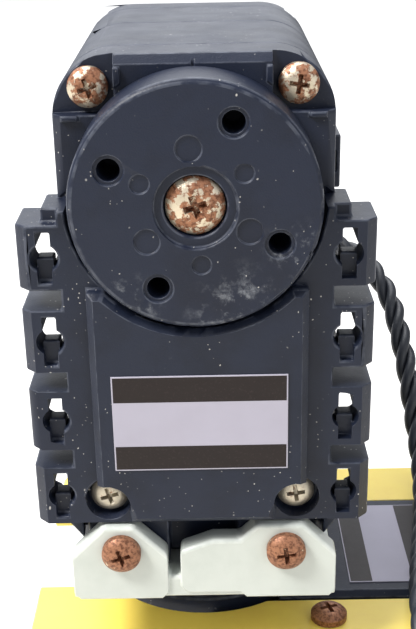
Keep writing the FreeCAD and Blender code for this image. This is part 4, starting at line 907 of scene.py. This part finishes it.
class ScrewTree:
    """A Geometry Nodes tree that sets one cross-slotted pan head screw on every point."""

    # The seed of the screws' turns and the largest of them, the power of the radius by which the dome
    # falls off, and the share of each side that the recess keeps at its bottom.
    SEED = 7
    LARGEST_TURN = 1.5
    DOME = 3.6
    TAPER = (0.45, 0.55, 1.0)

    # The tree's inputs and their first values.
    SIZES = {
        "Head Radius": 1.8 * MM,
        "Head Height": 1.3 * MM,
        "Shank Radius": 0.95 * MM,
        "Shank Length": 8.0 * MM,
        "Recess Length": 2.3 * MM,
        "Recess Width": 0.62 * MM,
        "Recess Depth": 0.8 * MM,
        "Rim Drop": 0.5,
    }

    def __init__(self) -> None:
        """Builds the tree."""
        self.tree = bpy.data.node_groups.new("pan_head_screws", "GeometryNodeTree")
        face = self.tree.interface
        face.new_socket("Geometry", in_out="INPUT", socket_type="NodeSocketGeometry")
        self.keys = {}
        for name, value in self.SIZES.items():
            socket = face.new_socket(name, in_out="INPUT", socket_type="NodeSocketFloat")
            socket.default_value = value
            self.keys[name] = socket.identifier
        socket = face.new_socket("Material", in_out="INPUT", socket_type="NodeSocketMaterial")
        self.keys["Material"] = socket.identifier
        face.new_socket("Geometry", in_out="OUTPUT", socket_type="NodeSocketGeometry")
        self.wire()

    def head(self, wiring: Wiring, given: bpy.types.Node) -> bpy.types.NodeSocket:
        """The domed head with its top at zero.

        Args:
            wiring: The tree's wiring.
            given: The tree's input node.

        Returns:
            The head's geometry socket.
        """
        radius, height = given.outputs["Head Radius"], given.outputs["Head Height"]
        sizes = {"Vertices": 40, "Side Segments": 2, "Fill Segments": 10, "Radius": radius, "Depth": height}
        blank = wiring.add("GeometryNodeMeshCylinder", sizes).outputs["Mesh"]
        spot = wiring.add("GeometryNodeInputPosition").outputs[0]
        parts = wiring.add("ShaderNodeSeparateXYZ", {0: spot}).outputs
        flat = wiring.add("ShaderNodeCombineXYZ", {0: parts[0], 1: parts[1]}).outputs[0]
        reach = wiring.calc("DIVIDE", wiring.vector("LENGTH", flat).outputs["Value"], radius)
        drop = wiring.calc("MULTIPLY", wiring.calc("POWER", reach, self.DOME), given.outputs["Rim Drop"])
        drop = wiring.calc("MULTIPLY", wiring.calc("MULTIPLY", drop, height), -1.0)
        upper = wiring.calc("GREATER_THAN", parts[2], 0.0)
        half = wiring.calc("MULTIPLY", height, -0.5)
        rise = wiring.calc("ADD", wiring.calc("MULTIPLY", drop, upper), half)
        move = wiring.add("ShaderNodeCombineXYZ", {2: rise}).outputs[0]
        return wiring.add("GeometryNodeSetPosition", {"Geometry": blank, "Offset": move}).outputs[0]

    def recess(self, wiring: Wiring, given: bpy.types.Node, turn: float) -> bpy.types.NodeSocket:
        """One tapered bar of the cross.

        Args:
            wiring: The tree's wiring.
            given: The tree's input node.
            turn: The bar's turn about Z, in radians.

        Returns:
            The bar's geometry socket.
        """
        depth = wiring.calc("MULTIPLY", given.outputs["Recess Depth"], 2.0)
        sides = {0: given.outputs["Recess Length"], 1: given.outputs["Recess Width"], 2: depth}
        size = wiring.add("ShaderNodeCombineXYZ", sides).outputs[0]
        bar = wiring.add("GeometryNodeMeshCube", {"Size": size}).outputs["Mesh"]
        spot = wiring.add("GeometryNodeInputPosition").outputs[0]
        low = wiring.calc("LESS_THAN", wiring.add("ShaderNodeSeparateXYZ", {0: spot}).outputs[2], 0.0)
        narrow = wiring.vector("MULTIPLY", spot, self.TAPER).outputs[0]
        moved = {"Geometry": bar, "Selection": low, "Position": narrow}
        tapered = wiring.add("GeometryNodeSetPosition", moved).outputs[0]
        turned = {"Geometry": tapered, "Rotation": (0.0, 0.0, turn)}
        return wiring.add("GeometryNodeTransform", turned).outputs[0]

    def wire(self) -> None:
        """Lays the whole tree from the group's input to its output."""
        wiring = Wiring(self.tree)
        given = wiring.add("NodeGroupInput")
        cross = wiring.add("GeometryNodeJoinGeometry")
        for turn in (0.0, math.pi / 2):
            self.tree.links.new(self.recess(wiring, given, turn), cross.inputs[0])
        both = {"Mesh 2": cross.outputs[0]}
        bars = wiring.add("GeometryNodeMeshBoolean", both, operation="UNION", solver="EXACT")
        holed = wiring.add("GeometryNodeMeshBoolean", operation="DIFFERENCE", solver="EXACT")
        self.tree.links.new(self.head(wiring, given), holed.inputs["Mesh 1"])
        self.tree.links.new(bars.outputs[0], holed.inputs["Mesh 2"])
        length = given.outputs["Shank Length"]
        sizes = {"Vertices": 24, "Radius": given.outputs["Shank Radius"], "Depth": length}
        shank = wiring.add("GeometryNodeMeshCylinder", sizes).outputs["Mesh"]
        heads = wiring.calc("MULTIPLY", given.outputs["Head Height"], 2.0)
        sink = wiring.calc("MULTIPLY", wiring.calc("ADD", length, heads), -0.5)
        offset = wiring.add("ShaderNodeCombineXYZ", {2: sink}).outputs[0]
        lowered = wiring.add("GeometryNodeTransform", {"Geometry": shank, "Translation": offset}).outputs[0]
        whole = wiring.add("GeometryNodeJoinGeometry")
        self.tree.links.new(holed.outputs[0], whole.inputs[0])
        self.tree.links.new(lowered, whole.inputs[0])
        named = {"Name": "facing"}
        facing = wiring.add("GeometryNodeInputNamedAttribute", named, data_type="FLOAT_VECTOR").outputs[0]
        upright = wiring.add("FunctionNodeAlignRotationToVector", {"Vector": facing}, axis="Z").outputs[0]
        turns = {"Min": (0.0, 0.0, 0.0), "Max": (0.0, 0.0, self.LARGEST_TURN), "Seed": self.SEED}
        lot = wiring.add("FunctionNodeRandomValue", turns, data_type="FLOAT_VECTOR")
        turned = {0: upright, 1: lot.outputs[0]}
        spun = wiring.add("FunctionNodeRotateRotation", turned, rotation_space="LOCAL")
        placed = wiring.add(
            "GeometryNodeInstanceOnPoints",
            {"Points": given.outputs["Geometry"], "Instance": whole.outputs[0], "Rotation": spun.outputs[0]},
        )
        real = wiring.add("GeometryNodeRealizeInstances", {0: placed.outputs[0]}).outputs[0]
        painted = {"Geometry": real, "Material": given.outputs["Material"]}
        done = wiring.add("GeometryNodeSetMaterial", painted).outputs[0]
        wiring.add("NodeGroupOutput", {0: done})

    def grow(
        self,
        name: str,
        seats: list[tuple[Vector, Vector]],
        sizes: dict[str, float],
        material: bpy.types.Material,
    ) -> bpy.types.Object:
        """Makes a plain mesh object with a screw on every seat.

        Args:
            name: The new object's name.
            seats: The top of each head and the way it faces.
            sizes: Input names to sizes.
            material: The screws' finish.

        Returns:
            The object.
        """
        mesh = bpy.data.meshes.new(f"{name}_seats")
        mesh.from_pydata([top for top, _ in seats], [], [])
        facing = mesh.attributes.new("facing", "FLOAT_VECTOR", "POINT")
        facing.data.foreach_set("vector", np.array([way for _, way in seats], np.float32).ravel())
        item = link(f"{name}_seats", mesh)
        modifier = item.modifiers.new("screws", "NODES")
        modifier.node_group = self.tree
        for key, value in {**sizes, "Material": material}.items():
            modifier[self.keys[key]] = value
        item.update_tag()
        result = applied(item)
        result.shade_smooth()
        result.set_sharp_from_angle(angle=SMOOTH_LIMIT)
        return link(name, result)


@dataclass
class Screws:
    """One CAD node of screws, remade with domed heads where its solids are.

    Args:
        node: The CAD node.
        axis: The number of the axis that the screws lie along.
        way: Which way the heads look along that axis, 1 or -1; 0 means away from the middle.
        head_height: The head's height in metres.
        shank: The shank's radius in metres.
        cross: The recess's length as a share of the head's diameter.
    """

    node: str
    axis: int
    way: int
    head_height: float
    shank: float = 0.95 * MM
    cross: float = 0.7

    def build(self, tree: ScrewTree, material: bpy.types.Material) -> bpy.types.Object:
        """Grows the screws and lets them stand for the node.

        Args:
            tree: The tree that makes every screw.
            material: The screws' finish.

        Returns:
            One piece with all the node's screws.
        """
        boxes = islands(self.node)
        seats, lengths = [], []
        for low, high in boxes:
            middle = (low + high) / 2
            way = self.way or (1 if middle[self.axis] > 0 else -1)
            top = middle.copy()
            top[self.axis] = (high if way > 0 else low)[self.axis]
            facing = Vector((0.0, 0.0, 0.0))
            facing[self.axis] = way
            seats.append((top, facing))
            lengths.append(high[self.axis] - low[self.axis] - self.head_height)
        side = (self.axis + 1) % 3
        radius = (boxes[0][1][side] - boxes[0][0][side]) / 2
        sizes = {
            "Head Radius": radius,
            "Head Height": self.head_height,
            "Shank Radius": self.shank,
            "Shank Length": min(lengths),
            "Recess Length": 2 * radius * self.cross,
            "Recess Width": 0.3 * radius,
            "Recess Depth": 0.62 * self.head_height,
        }
        item = tree.grow(f"{self.node}_formed", seats, sizes, material)
        return stand_for(item, self.node)


# ---- sub-assemblies -----------------------------------------------------------------------------


@dataclass
class ServoUnit:
    """One servo: four shells, horn, label, screws and what they hold inside.

    Args:
        tag: "pan" or "tilt", the start of its nodes' names.
        axis: The number of the axis that its output turns about.
        way: Which way along that axis the horn looks.
        bands: The axis that crosses the label's bands.
        across: The label's other axis number.
        chalk: Scuffed places, each a step from the horn's middle and a reach.
        shell_edge: The rounding of the case shells.
        horn_edge: The rounding of the horn.
        label_edge: The rounding of the label.
        socket_edge: The rounding of the sockets.
        case_head: The height of the case screws' heads.
        horn_head: The height of the horn screw's head.
        horn_shank: The radius of the horn screw's shank.
        horn_cross: The horn screw's recess, as a share of its head's diameter.
        parts: The pieces made so far.
    """

    tag: str
    axis: int
    way: int
    bands: Along
    across: int
    chalk: tuple[tuple[Point, float], ...] = ()
    shell_edge: float = 0.22 * MM
    horn_edge: float = 0.16 * MM
    label_edge: float = 0.04 * MM
    socket_edge: float = 0.12 * MM
    case_head: float = 1.3 * MM
    horn_head: float = 1.5 * MM
    horn_shank: float = 1.2 * MM
    horn_cross: float = 0.56
    parts: list[bpy.types.Object] = field(default_factory=list)

    def shells(self) -> None:
        """The four case shells."""
        case = CHARCOAL.material()
        for name in ("front_cover", "front_case", "rear_case", "rear_cover"):
            item = softened(f"{self.tag}_{name}", self.shell_edge)
            dress(item, case)
            self.parts.append(item)

    def horn(self) -> None:
        """The output disc, scuffed where it is handled."""
        item = softened(f"{self.tag}_horn", self.horn_edge)
        low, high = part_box(f"{self.tag}_horn")
        middle = (Vector(low) + Vector(high)) / 2
        finish = ChalkedPlastic(
            f"{self.tag}_horn_charcoal",
            colour=(0.0125, 0.0172, 0.035),
            shade=(0.0085, 0.0108, 0.021),
            edge=(0.085, 0.095, 0.125),
            rough=0.4,
            gloss=0.26,
            grain=0.00002,
            dust=0.2,
            spots=tuple((tuple(middle + Vector(step)), reach) for step, reach in self.chalk),
        )
        dress(item, finish.material())
        self.parts.append(item)

    def label(self) -> None:
        """The banded label on the raised panel."""
        item = softened(f"{self.tag}_label", self.label_edge)
        bands = PrintedBands(f"{self.tag}_bands", f"{self.tag}_label", self.bands, self.across)
        dress(item, bands.material())
        self.parts.append(item)

    def screws(self, tree: ScrewTree, rusted: bpy.types.Material, bright: bpy.types.Material) -> None:
        """Front, rear and horn screws; the front ones past the horn are brighter.

        Args:
            tree: The tree that makes every screw.
            rusted: The finish of most screws.
            bright: The brighter finish.
        """
        front = Screws(f"{self.tag}_front_screws", self.axis, self.way, self.case_head).build(tree, rusted)
        split_finish(front, bright, self.beyond_horn())
        rear = Screws(f"{self.tag}_rear_screws", self.axis, -self.way, self.case_head).build(tree, rusted)
        name = f"{self.tag}_horn_screw"
        centre = Screws(name, self.axis, self.way, self.horn_head, self.horn_shank, self.horn_cross)
        self.parts.extend((front, rear, centre.build(tree, rusted)))

    def beyond_horn(self) -> Callable[[Vector], bool]:
        """A test for places that lie past the horn, towards the unit's long end.

        Returns:
            The test.
        """
        low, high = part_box(f"{self.tag}_horn")
        if self.axis == 1:
            return lambda spot: spot.z < low.z
        return lambda spot: spot.x > high.x

    def inside(self, finishes: dict[str, bpy.types.Material]) -> None:
        """Finishes for the nodes that stay as CAD made them, and the sockets.

        Args:
            finishes: The end of each node's name and its material.
        """
        for name, material in finishes.items():
            dress(frame["nodes"][f"{self.tag}_{name}"], material)
        sockets = softened(f"{self.tag}_sockets", self.socket_edge)
        dress(sockets, CONNECTOR.material())
        self.parts.append(sockets)

    def build(self, tree: ScrewTree, kit: "Finishes") -> list[bpy.types.Object]:
        """Makes every piece of the unit.

        Args:
            tree: The tree that makes every screw.
            kit: The shared materials.

        Returns:
            The pieces.
        """
        self.shells()
        self.horn()
        self.label()
        self.screws(tree, kit.rusted, kit.bright)
        self.inside(kit.inner)
        return self.parts


def split_finish(
    item: bpy.types.Object, second: bpy.types.Material, chosen: Callable[[Vector], bool]
) -> None:
    """Gives a second material to some faces.

    Args:
        item: The piece.
        second: The second material.
        chosen: The test that a face's middle has to pass.
    """
    item.data.materials.append(second)
    last = len(item.data.materials) - 1
    for polygon in item.data.polygons:
        if chosen(polygon.center):
            polygon.material_index = last


class Finishes:
    """Materials that both units share."""

    def __init__(self) -> None:
        """Builds them once."""
        self.rusted = RustedPlating("rusted_plating", 0.5).material()
        self.bright = RustedPlating("dull_zinc", 0.1, zinc=(0.4, 0.38, 0.33)).material()
        self.copper = RustedPlating("copper_rust", 0.82, zinc=(0.6, 0.44, 0.3)).material()
        gear, steel = GEAR_CREAM.material(), TurnedMetal("ground_steel", (0.6, 0.61, 0.63), 0.2).material()
        brass = TurnedMetal("cut_brass", (0.72, 0.52, 0.24), 0.28).material()
        self.inner = {
            "output_gear": gear,
            "middle_gear": gear,
            "first_gear": brass,
            "motor_pinion": brass,
            "output_bushing": TurnedMetal("bronze", (0.55, 0.34, 0.16), 0.34).material(),
            "middle_shaft": steel,
            "first_shaft": steel,
            "motor": TurnedMetal("drawn_can", (0.52, 0.53, 0.55), 0.34).material(),
            "angle_sensor": SENSOR_BLUE.material(),
            "circuit_board": Laminate("green_board").material(),
        }


@dataclass
class Foot:
    """The white bracket, its riser and their fasteners.

    Args:
        bracket_edge: The rounding of the bracket.
        riser_edge: The rounding of the riser.
        nut_edge: The rounding of the nuts.
        head_height: The height of the screws' heads.
    """

    bracket_edge: float = 0.42 * MM
    riser_edge: float = 0.2 * MM
    nut_edge: float = 0.12 * MM
    head_height: float = 1.35 * MM

    def build(self, tree: ScrewTree, kit: Finishes) -> list[bpy.types.Object]:
        """Makes the bracket, the riser, the screws and the nuts.

        Args:
            tree: The tree that makes every screw.
            kit: The shared materials.

        Returns:
            The pieces.
        """
        bracket = softened("foot_bracket", self.bracket_edge, 3)
        dress(bracket, BRACKET_WHITE.material())
        riser = softened("riser", self.riser_edge)
        dress(riser, SPACER_BLACK.material())
        screws = Screws("foot_screws", 1, 0, self.head_height).build(tree, kit.copper)
        nuts = softened("foot_nuts", self.nut_edge)
        dress(nuts, kit.bright)
        dress(frame["nodes"]["riser_screws"], kit.rusted)
        return [bracket, riser, screws, nuts]


@dataclass
class Plate:
    """The yellow plate under the foot, screwed to the pan unit's front flanges.

    Args:
        edge: The rounding of the plate.
        nut_edge: The rounding of the nuts.
        head_height: The height of the screws' heads.
    """

    edge: float = 0.2 * MM
    nut_edge: float = 0.12 * MM
    head_height: float = 1.35 * MM

    def build(self, tree: ScrewTree, kit: Finishes) -> list[bpy.types.Object]:
        """Makes the plate, its screws and its nuts.

        Args:
            tree: The tree that makes every screw.
            kit: The shared materials.

        Returns:
            The pieces.
        """
        plate = softened("base_plate", self.edge)
        dress(plate, PLATE_YELLOW.material())
        screws = Screws("plate_screws", 2, 1, self.head_height).build(tree, kit.copper)
        nuts = softened("plate_nuts", self.nut_edge)
        dress(nuts, kit.bright)
        return [plate, screws, nuts]


# ---- lead ---------------------------------------------------------------------------------------


@dataclass
class Lead:
    """A free lead of three twisted wires between the tilt unit's plug and a loose plug.

    Args:
        route: Control points of its centreline, in metres.
        diameter: The whole lead's diameter.
        wire: One wire's diameter.
        pitch: The length of one full twist.
        spread: The distance between the wires where they enter a plug.
        fan: The length over which the twist opens at a plug.
        step: The distance between rings along the wires.
        sides: The corners of each ring.
        plug_edge: The rounding of the two plugs.
    """

    route: tuple[Point, ...]
    # diameter: The whole lead's diameter; not used.
    diameter: float = 2.8 * MM
    wire: float = 1.3 * MM
    pitch: float = 10.5 * MM
    spread: float = 1.6 * MM
    fan: float = 5.0 * MM
    step: float = 0.4 * MM
    sides: int = 12
    plug_edge: float = 0.3 * MM

    def centreline(self) -> np.ndarray:
        """Points along the route's smooth line, evenly spaced.

        Returns:
            The points, one row each.
        """
        curve = bpy.data.curves.new("lead_route", "CURVE")
        curve.dimensions = "3D"
        curve.resolution_u = 16
        spline = curve.splines.new("NURBS")
        spline.points.add(len(self.route) - 1)
        for point, spot in zip(spline.points, self.route):
            point.co = (*spot, 1.0)
        spline.order_u = 3
        spline.use_endpoint_u = True
        item = bpy.data.objects.new("lead_route", curve)
        bpy.context.scene.collection.objects.link(item)
        mesh = applied(item)
        spots = np.array([vert.co for vert in mesh.vertices], float)
        bpy.data.meshes.remove(mesh)
        gaps = np.linalg.norm(np.diff(spots, axis=0), axis=1)
        run = np.concatenate(([0.0], np.cumsum(gaps)))
        count = int(run[-1] / self.step)
        marks = np.linspace(0.0, run[-1], count + 1)
        return np.stack([np.interp(marks, run, spots[:, axis]) for axis in range(3)], axis=1)

    @staticmethod
    def carried(line: np.ndarray) -> tuple[np.ndarray, np.ndarray]:
        """Two crosswise directions carried along a line without twist.

        Args:
            line: Points along it.

        Returns:
            The first and the second direction at each point.
        """
        ways = np.gradient(line, axis=0)
        ways /= np.linalg.norm(ways, axis=1)[:, None]
        first = np.cross(ways[0], (0.0, 0.0, 1.0) if abs(ways[0][2]) < 0.9 else (1.0, 0.0, 0.0))
        sides = []
        for way in ways:
            first = first - way * np.dot(first, way)
            first /= np.linalg.norm(first)
            sides.append(first)
        sides = np.array(sides)
        return sides, np.cross(ways, sides)

    def strand(self, line: np.ndarray, number: int) -> np.ndarray:
        """The path of one wire: twisted, and side by side at the plugs.

        Args:
            line: Points along the lead's centreline.
            number: Which wire it is, 0 to 2.

        Returns:
            Points along the wire, one row each.
        """
        right, up = self.carried(line)
        count = len(line)
        run = np.arange(count) * self.step
        angle = 2 * math.pi * (run / self.pitch + number / 3)
        reach = self.wire / math.sqrt(3)
        twisted = reach * (np.cos(angle)[:, None] * right + np.sin(angle)[:, None] * up)
        shift = (number - 1) * self.spread
        open_start = np.array((1.0, 0.0, 0.0)) * shift
        open_end = np.array((0.0, 1.0, 0.0)) * shift
        near = np.clip(1 - run / self.fan, 0, 1)[:, None]
        far = np.clip(1 - (run[-1] - run) / self.fan, 0, 1)[:, None]
        near, far = near * near * (3 - 2 * near), far * far * (3 - 2 * far)
        return line + twisted * (1 - near - far) + open_start * near + open_end * far

    def tube(self, line: np.ndarray, base: int) -> tuple[list, list]:
        """Rings round a wire's path.

        Args:
            line: The wire's path.
            base: The number of the first new vertex.

        Returns:
            Vertices and faces.
        """
        right, up = self.carried(line)
        turns = np.linspace(0.0, 2 * math.pi, self.sides, endpoint=False)
        rings = line[:, None, :] + self.wire / 2 * (
            np.cos(turns)[None, :, None] * right[:, None, :] + np.sin(turns)[None, :, None] * up[:, None, :]
        )
        verts = rings.reshape(-1, 3).tolist()
        faces = []
        for ring in range(len(line) - 1):
            low, high = base + ring * self.sides, base + (ring + 1) * self.sides
            for side in range(self.sides):
                after = (side + 1) % self.sides
                faces.append((low + side, low + after, high + after, high + side))
        last = base + (len(line) - 1) * self.sides
        faces.append(tuple(range(base + self.sides - 1, base - 1, -1)))
        faces.append(tuple(range(last, last + self.sides)))
        return verts, faces

    def build(self) -> list[bpy.types.Object]:
        """Returns:
            The pieces.
        """
        line = self.centreline()
        verts, faces = [], []
        for number in range(3):
            more, closed = self.tube(self.strand(line, number), len(verts))
            verts.extend(more)
            faces.extend(closed)
        mesh = bpy.data.meshes.new("lead_wires")
        mesh.from_pydata(verts, [], faces)
        mesh.shade_smooth()
        mesh.set_sharp_from_angle(angle=SMOOTH_LIMIT)
        lead = link("lead_wires", mesh)
        dress(lead, Insulation("wire_sleeve").material())
        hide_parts("lead_upper", "lead_lower")
        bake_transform(lead)
        shell = CONNECTOR.material()
        plugs = [softened(name, self.plug_edge) for name in ("tilt_plug", "loose_plug")]
        for plug in plugs:
            dress(plug, shell)
        length = float(np.linalg.norm(np.diff(line, axis=0), axis=1).sum())
        log.info("lead: %.1f mm along its centreline", length / MM)
        return [lead, *plugs]


# The lead's control points, from the tilt unit's plug down to the loose plug on the ground.
LEAD_ROUTE = (
    (0.0050, 0.02295, 0.0666),
    (0.0050, 0.0283, 0.0666),
    (0.0076, 0.0331, 0.0665),
    (0.0122, 0.0360, 0.0659),
    (0.0176, 0.0363, 0.0646),
    (0.0221, 0.0338, 0.0624),
    (0.0247, 0.0294, 0.0593),
    (0.0256, 0.0246, 0.0554),
    (0.0263, 0.0205, 0.0509),
    (0.0268, 0.0169, 0.0462),
    (0.0270, 0.0120, 0.0429),
    (0.0264, 0.0062, 0.0415),
    (0.0250, -0.0015, 0.0413),
    (0.0235, -0.0090, 0.0418),
    (0.0223, -0.0160, 0.0428),
    (0.0216, -0.0228, 0.0424),
    (0.0208, -0.0284, 0.0386),
    (0.0197, -0.0314, 0.0324),
    (0.0181, -0.0320, 0.0252),
    (0.0158, -0.0316, 0.0178),
    (0.0122, -0.0318, 0.0108),
    (0.0066, -0.0328, 0.0054),
    (-0.0004, -0.0340, 0.0027),
    (-0.0076, -0.0346, 0.00165),
    (-0.0144, -0.0346, 0.00165),
)


# ---- studio -------------------------------------------------------------------------------------


@dataclass
class Studio:
    """The floor, the soft lights and the camera.

    Args:
        eye: Where the camera stands.
        tilt: The camera's turn about X, in degrees.
        lean: The camera's turn about Y.
        turn: The camera's turn about Z.
        lens: The camera's focal length in millimetres.
        shift: How far the frame is shifted, as shares of its longer side.
        aim: The place that every light looks at.
        floor_size: Half the floor's side.
        floor_colour: The floor's colour.
        near_colour: The warmer colour of the floor in front of the mount.
        room_colour: The colour of the light from all round.
        room_strength: The strength of the light from all round.
    """

    eye: Point = (0.001598, -0.117608, 0.115439)
    tilt: float = 67.359
    lean: float = 1.089
    turn: float = -0.124
    lens: float = 67.59
    shift: tuple[float, float] = (-0.00304, 0.0282)
    aim: Point = (0.0, 0.0, 0.06)
    floor_size: float = 3.0
    floor_colour: Colour = (0.86, 0.85, 0.835)
    near_colour: Colour = (0.7, 0.64, 0.47)
    room_colour: Colour = (0.95, 0.965, 1.0)
    room_strength: float = 0.45

    def camera(self) -> None:
        """Stands the camera a hand's breadth in front, looking down on the horn."""
        lens = bpy.data.cameras.new("camera")
        lens.lens = self.lens
        lens.sensor_width = 36.0
        lens.shift_x, lens.shift_y = self.shift
        lens.clip_start = 0.005
        lens.clip_end = 10.0
        item = bpy.data.objects.new("camera", lens)
        item.location = self.eye
        item.rotation_euler = tuple(math.radians(angle) for angle in (self.tilt, self.lean, self.turn))
        bpy.context.scene.collection.objects.link(item)
        bpy.context.scene.camera = item

    def floor(self) -> None:
        """A plain pale floor under the mount."""
        shape = bmesh.new()
        bmesh.ops.create_grid(shape, x_segments=1, y_segments=1, size=self.floor_size)
        mesh = bpy.data.meshes.new("floor")
        shape.to_mesh(mesh)
        shape.free()
        mesh.transform(Matrix.Translation((0.0, 0.0, CAD_BOX[0][2])))
        item = link("floor", mesh)
        paint = Paint("floor_paper")
        back = paint.add("ShaderNodeSeparateXYZ", {0: paint.spot}).outputs[1]
        tone = paint.mix(paint.step(back, -0.12, 0.12), self.near_colour, self.floor_colour)
        soft = paint.mix(paint.noise(60.0 * MM, 2.0), tone, self.floor_colour)
        dress(item, paint.finish(soft, 0.9))

    def light(self, name: str, spot: Point, size: float, power: float, colour: Colour) -> None:
        """One square soft light that looks at the mount.

        Args:
            name: The light's name.
            spot: Where it hangs.
            size: The square's side in metres.
            power: Its power in watts.
            colour: Its colour.
        """
        lamp = bpy.data.lights.new(name, "AREA")
        lamp.shape = "SQUARE"
        lamp.size = size
        lamp.energy = power
        lamp.color = colour
        item = bpy.data.objects.new(name, lamp)
        item.location = spot
        way = Vector(self.aim) - Vector(spot)
        item.rotation_euler = way.to_track_quat("-Z", "Y").to_euler()
        bpy.context.scene.collection.objects.link(item)

    def build(self) -> None:
        """Sets up the whole studio."""
        self.camera()
        self.floor()
        self.light("key", (-0.4, -0.22, 0.6), 0.22, 7.5, (1.0, 0.98, 0.95))
        self.light("fill", (0.5, -0.4, 0.35), 0.6, 1.2, (0.93, 0.96, 1.0))
        self.light("top", (-0.05, 0.3, 0.7), 0.5, 4.5, (0.97, 0.98, 1.0))
        self.light("rim", (-0.05, 0.75, 0.42), 0.7, 2.0, (0.93, 0.96, 1.0))
        world = bpy.data.worlds.new("white_room")
        world.use_nodes = True
        background = world.node_tree.nodes["Background"]
        background.inputs["Color"].default_value = rgba(self.room_colour)
        background.inputs["Strength"].default_value = self.room_strength
        bpy.context.scene.world = world
        bpy.context.scene.view_settings.view_transform = "Standard"


# Scuffed places on the lower half of the tilt horn's face: each a step from its middle and a reach.
HORN_SCUFFS = (
    ((0.004, -0.00273, -0.0101), 6.0 * MM),
    ((0.0085, -0.00273, -0.0041), 3.6 * MM),
    ((-0.006, -0.00273, -0.0086), 3.5 * MM),
)


def main() -> None:
    """Builds the studio and every sub-assembly and reports each piece's face count."""
    logging.basicConfig(level=logging.INFO, format="%(name)s: %(message)s")
    Studio().build()
    pieces = Lead(LEAD_ROUTE).build()
    kit, tree = Finishes(), ScrewTree()
    pieces += ServoUnit("tilt", 1, -1, Along.Z, 0, HORN_SCUFFS).build(tree, kit)
    pieces += ServoUnit("pan", 2, 1, Along.X, 1).build(tree, kit)
    pieces += Foot().build(tree, kit)
    pieces += Plate().build(tree, kit)
    for piece in pieces:
        log.info("%s: %d faces", piece.name, len(piece.data.polygons))


if __name__ == "__main__":
    main()
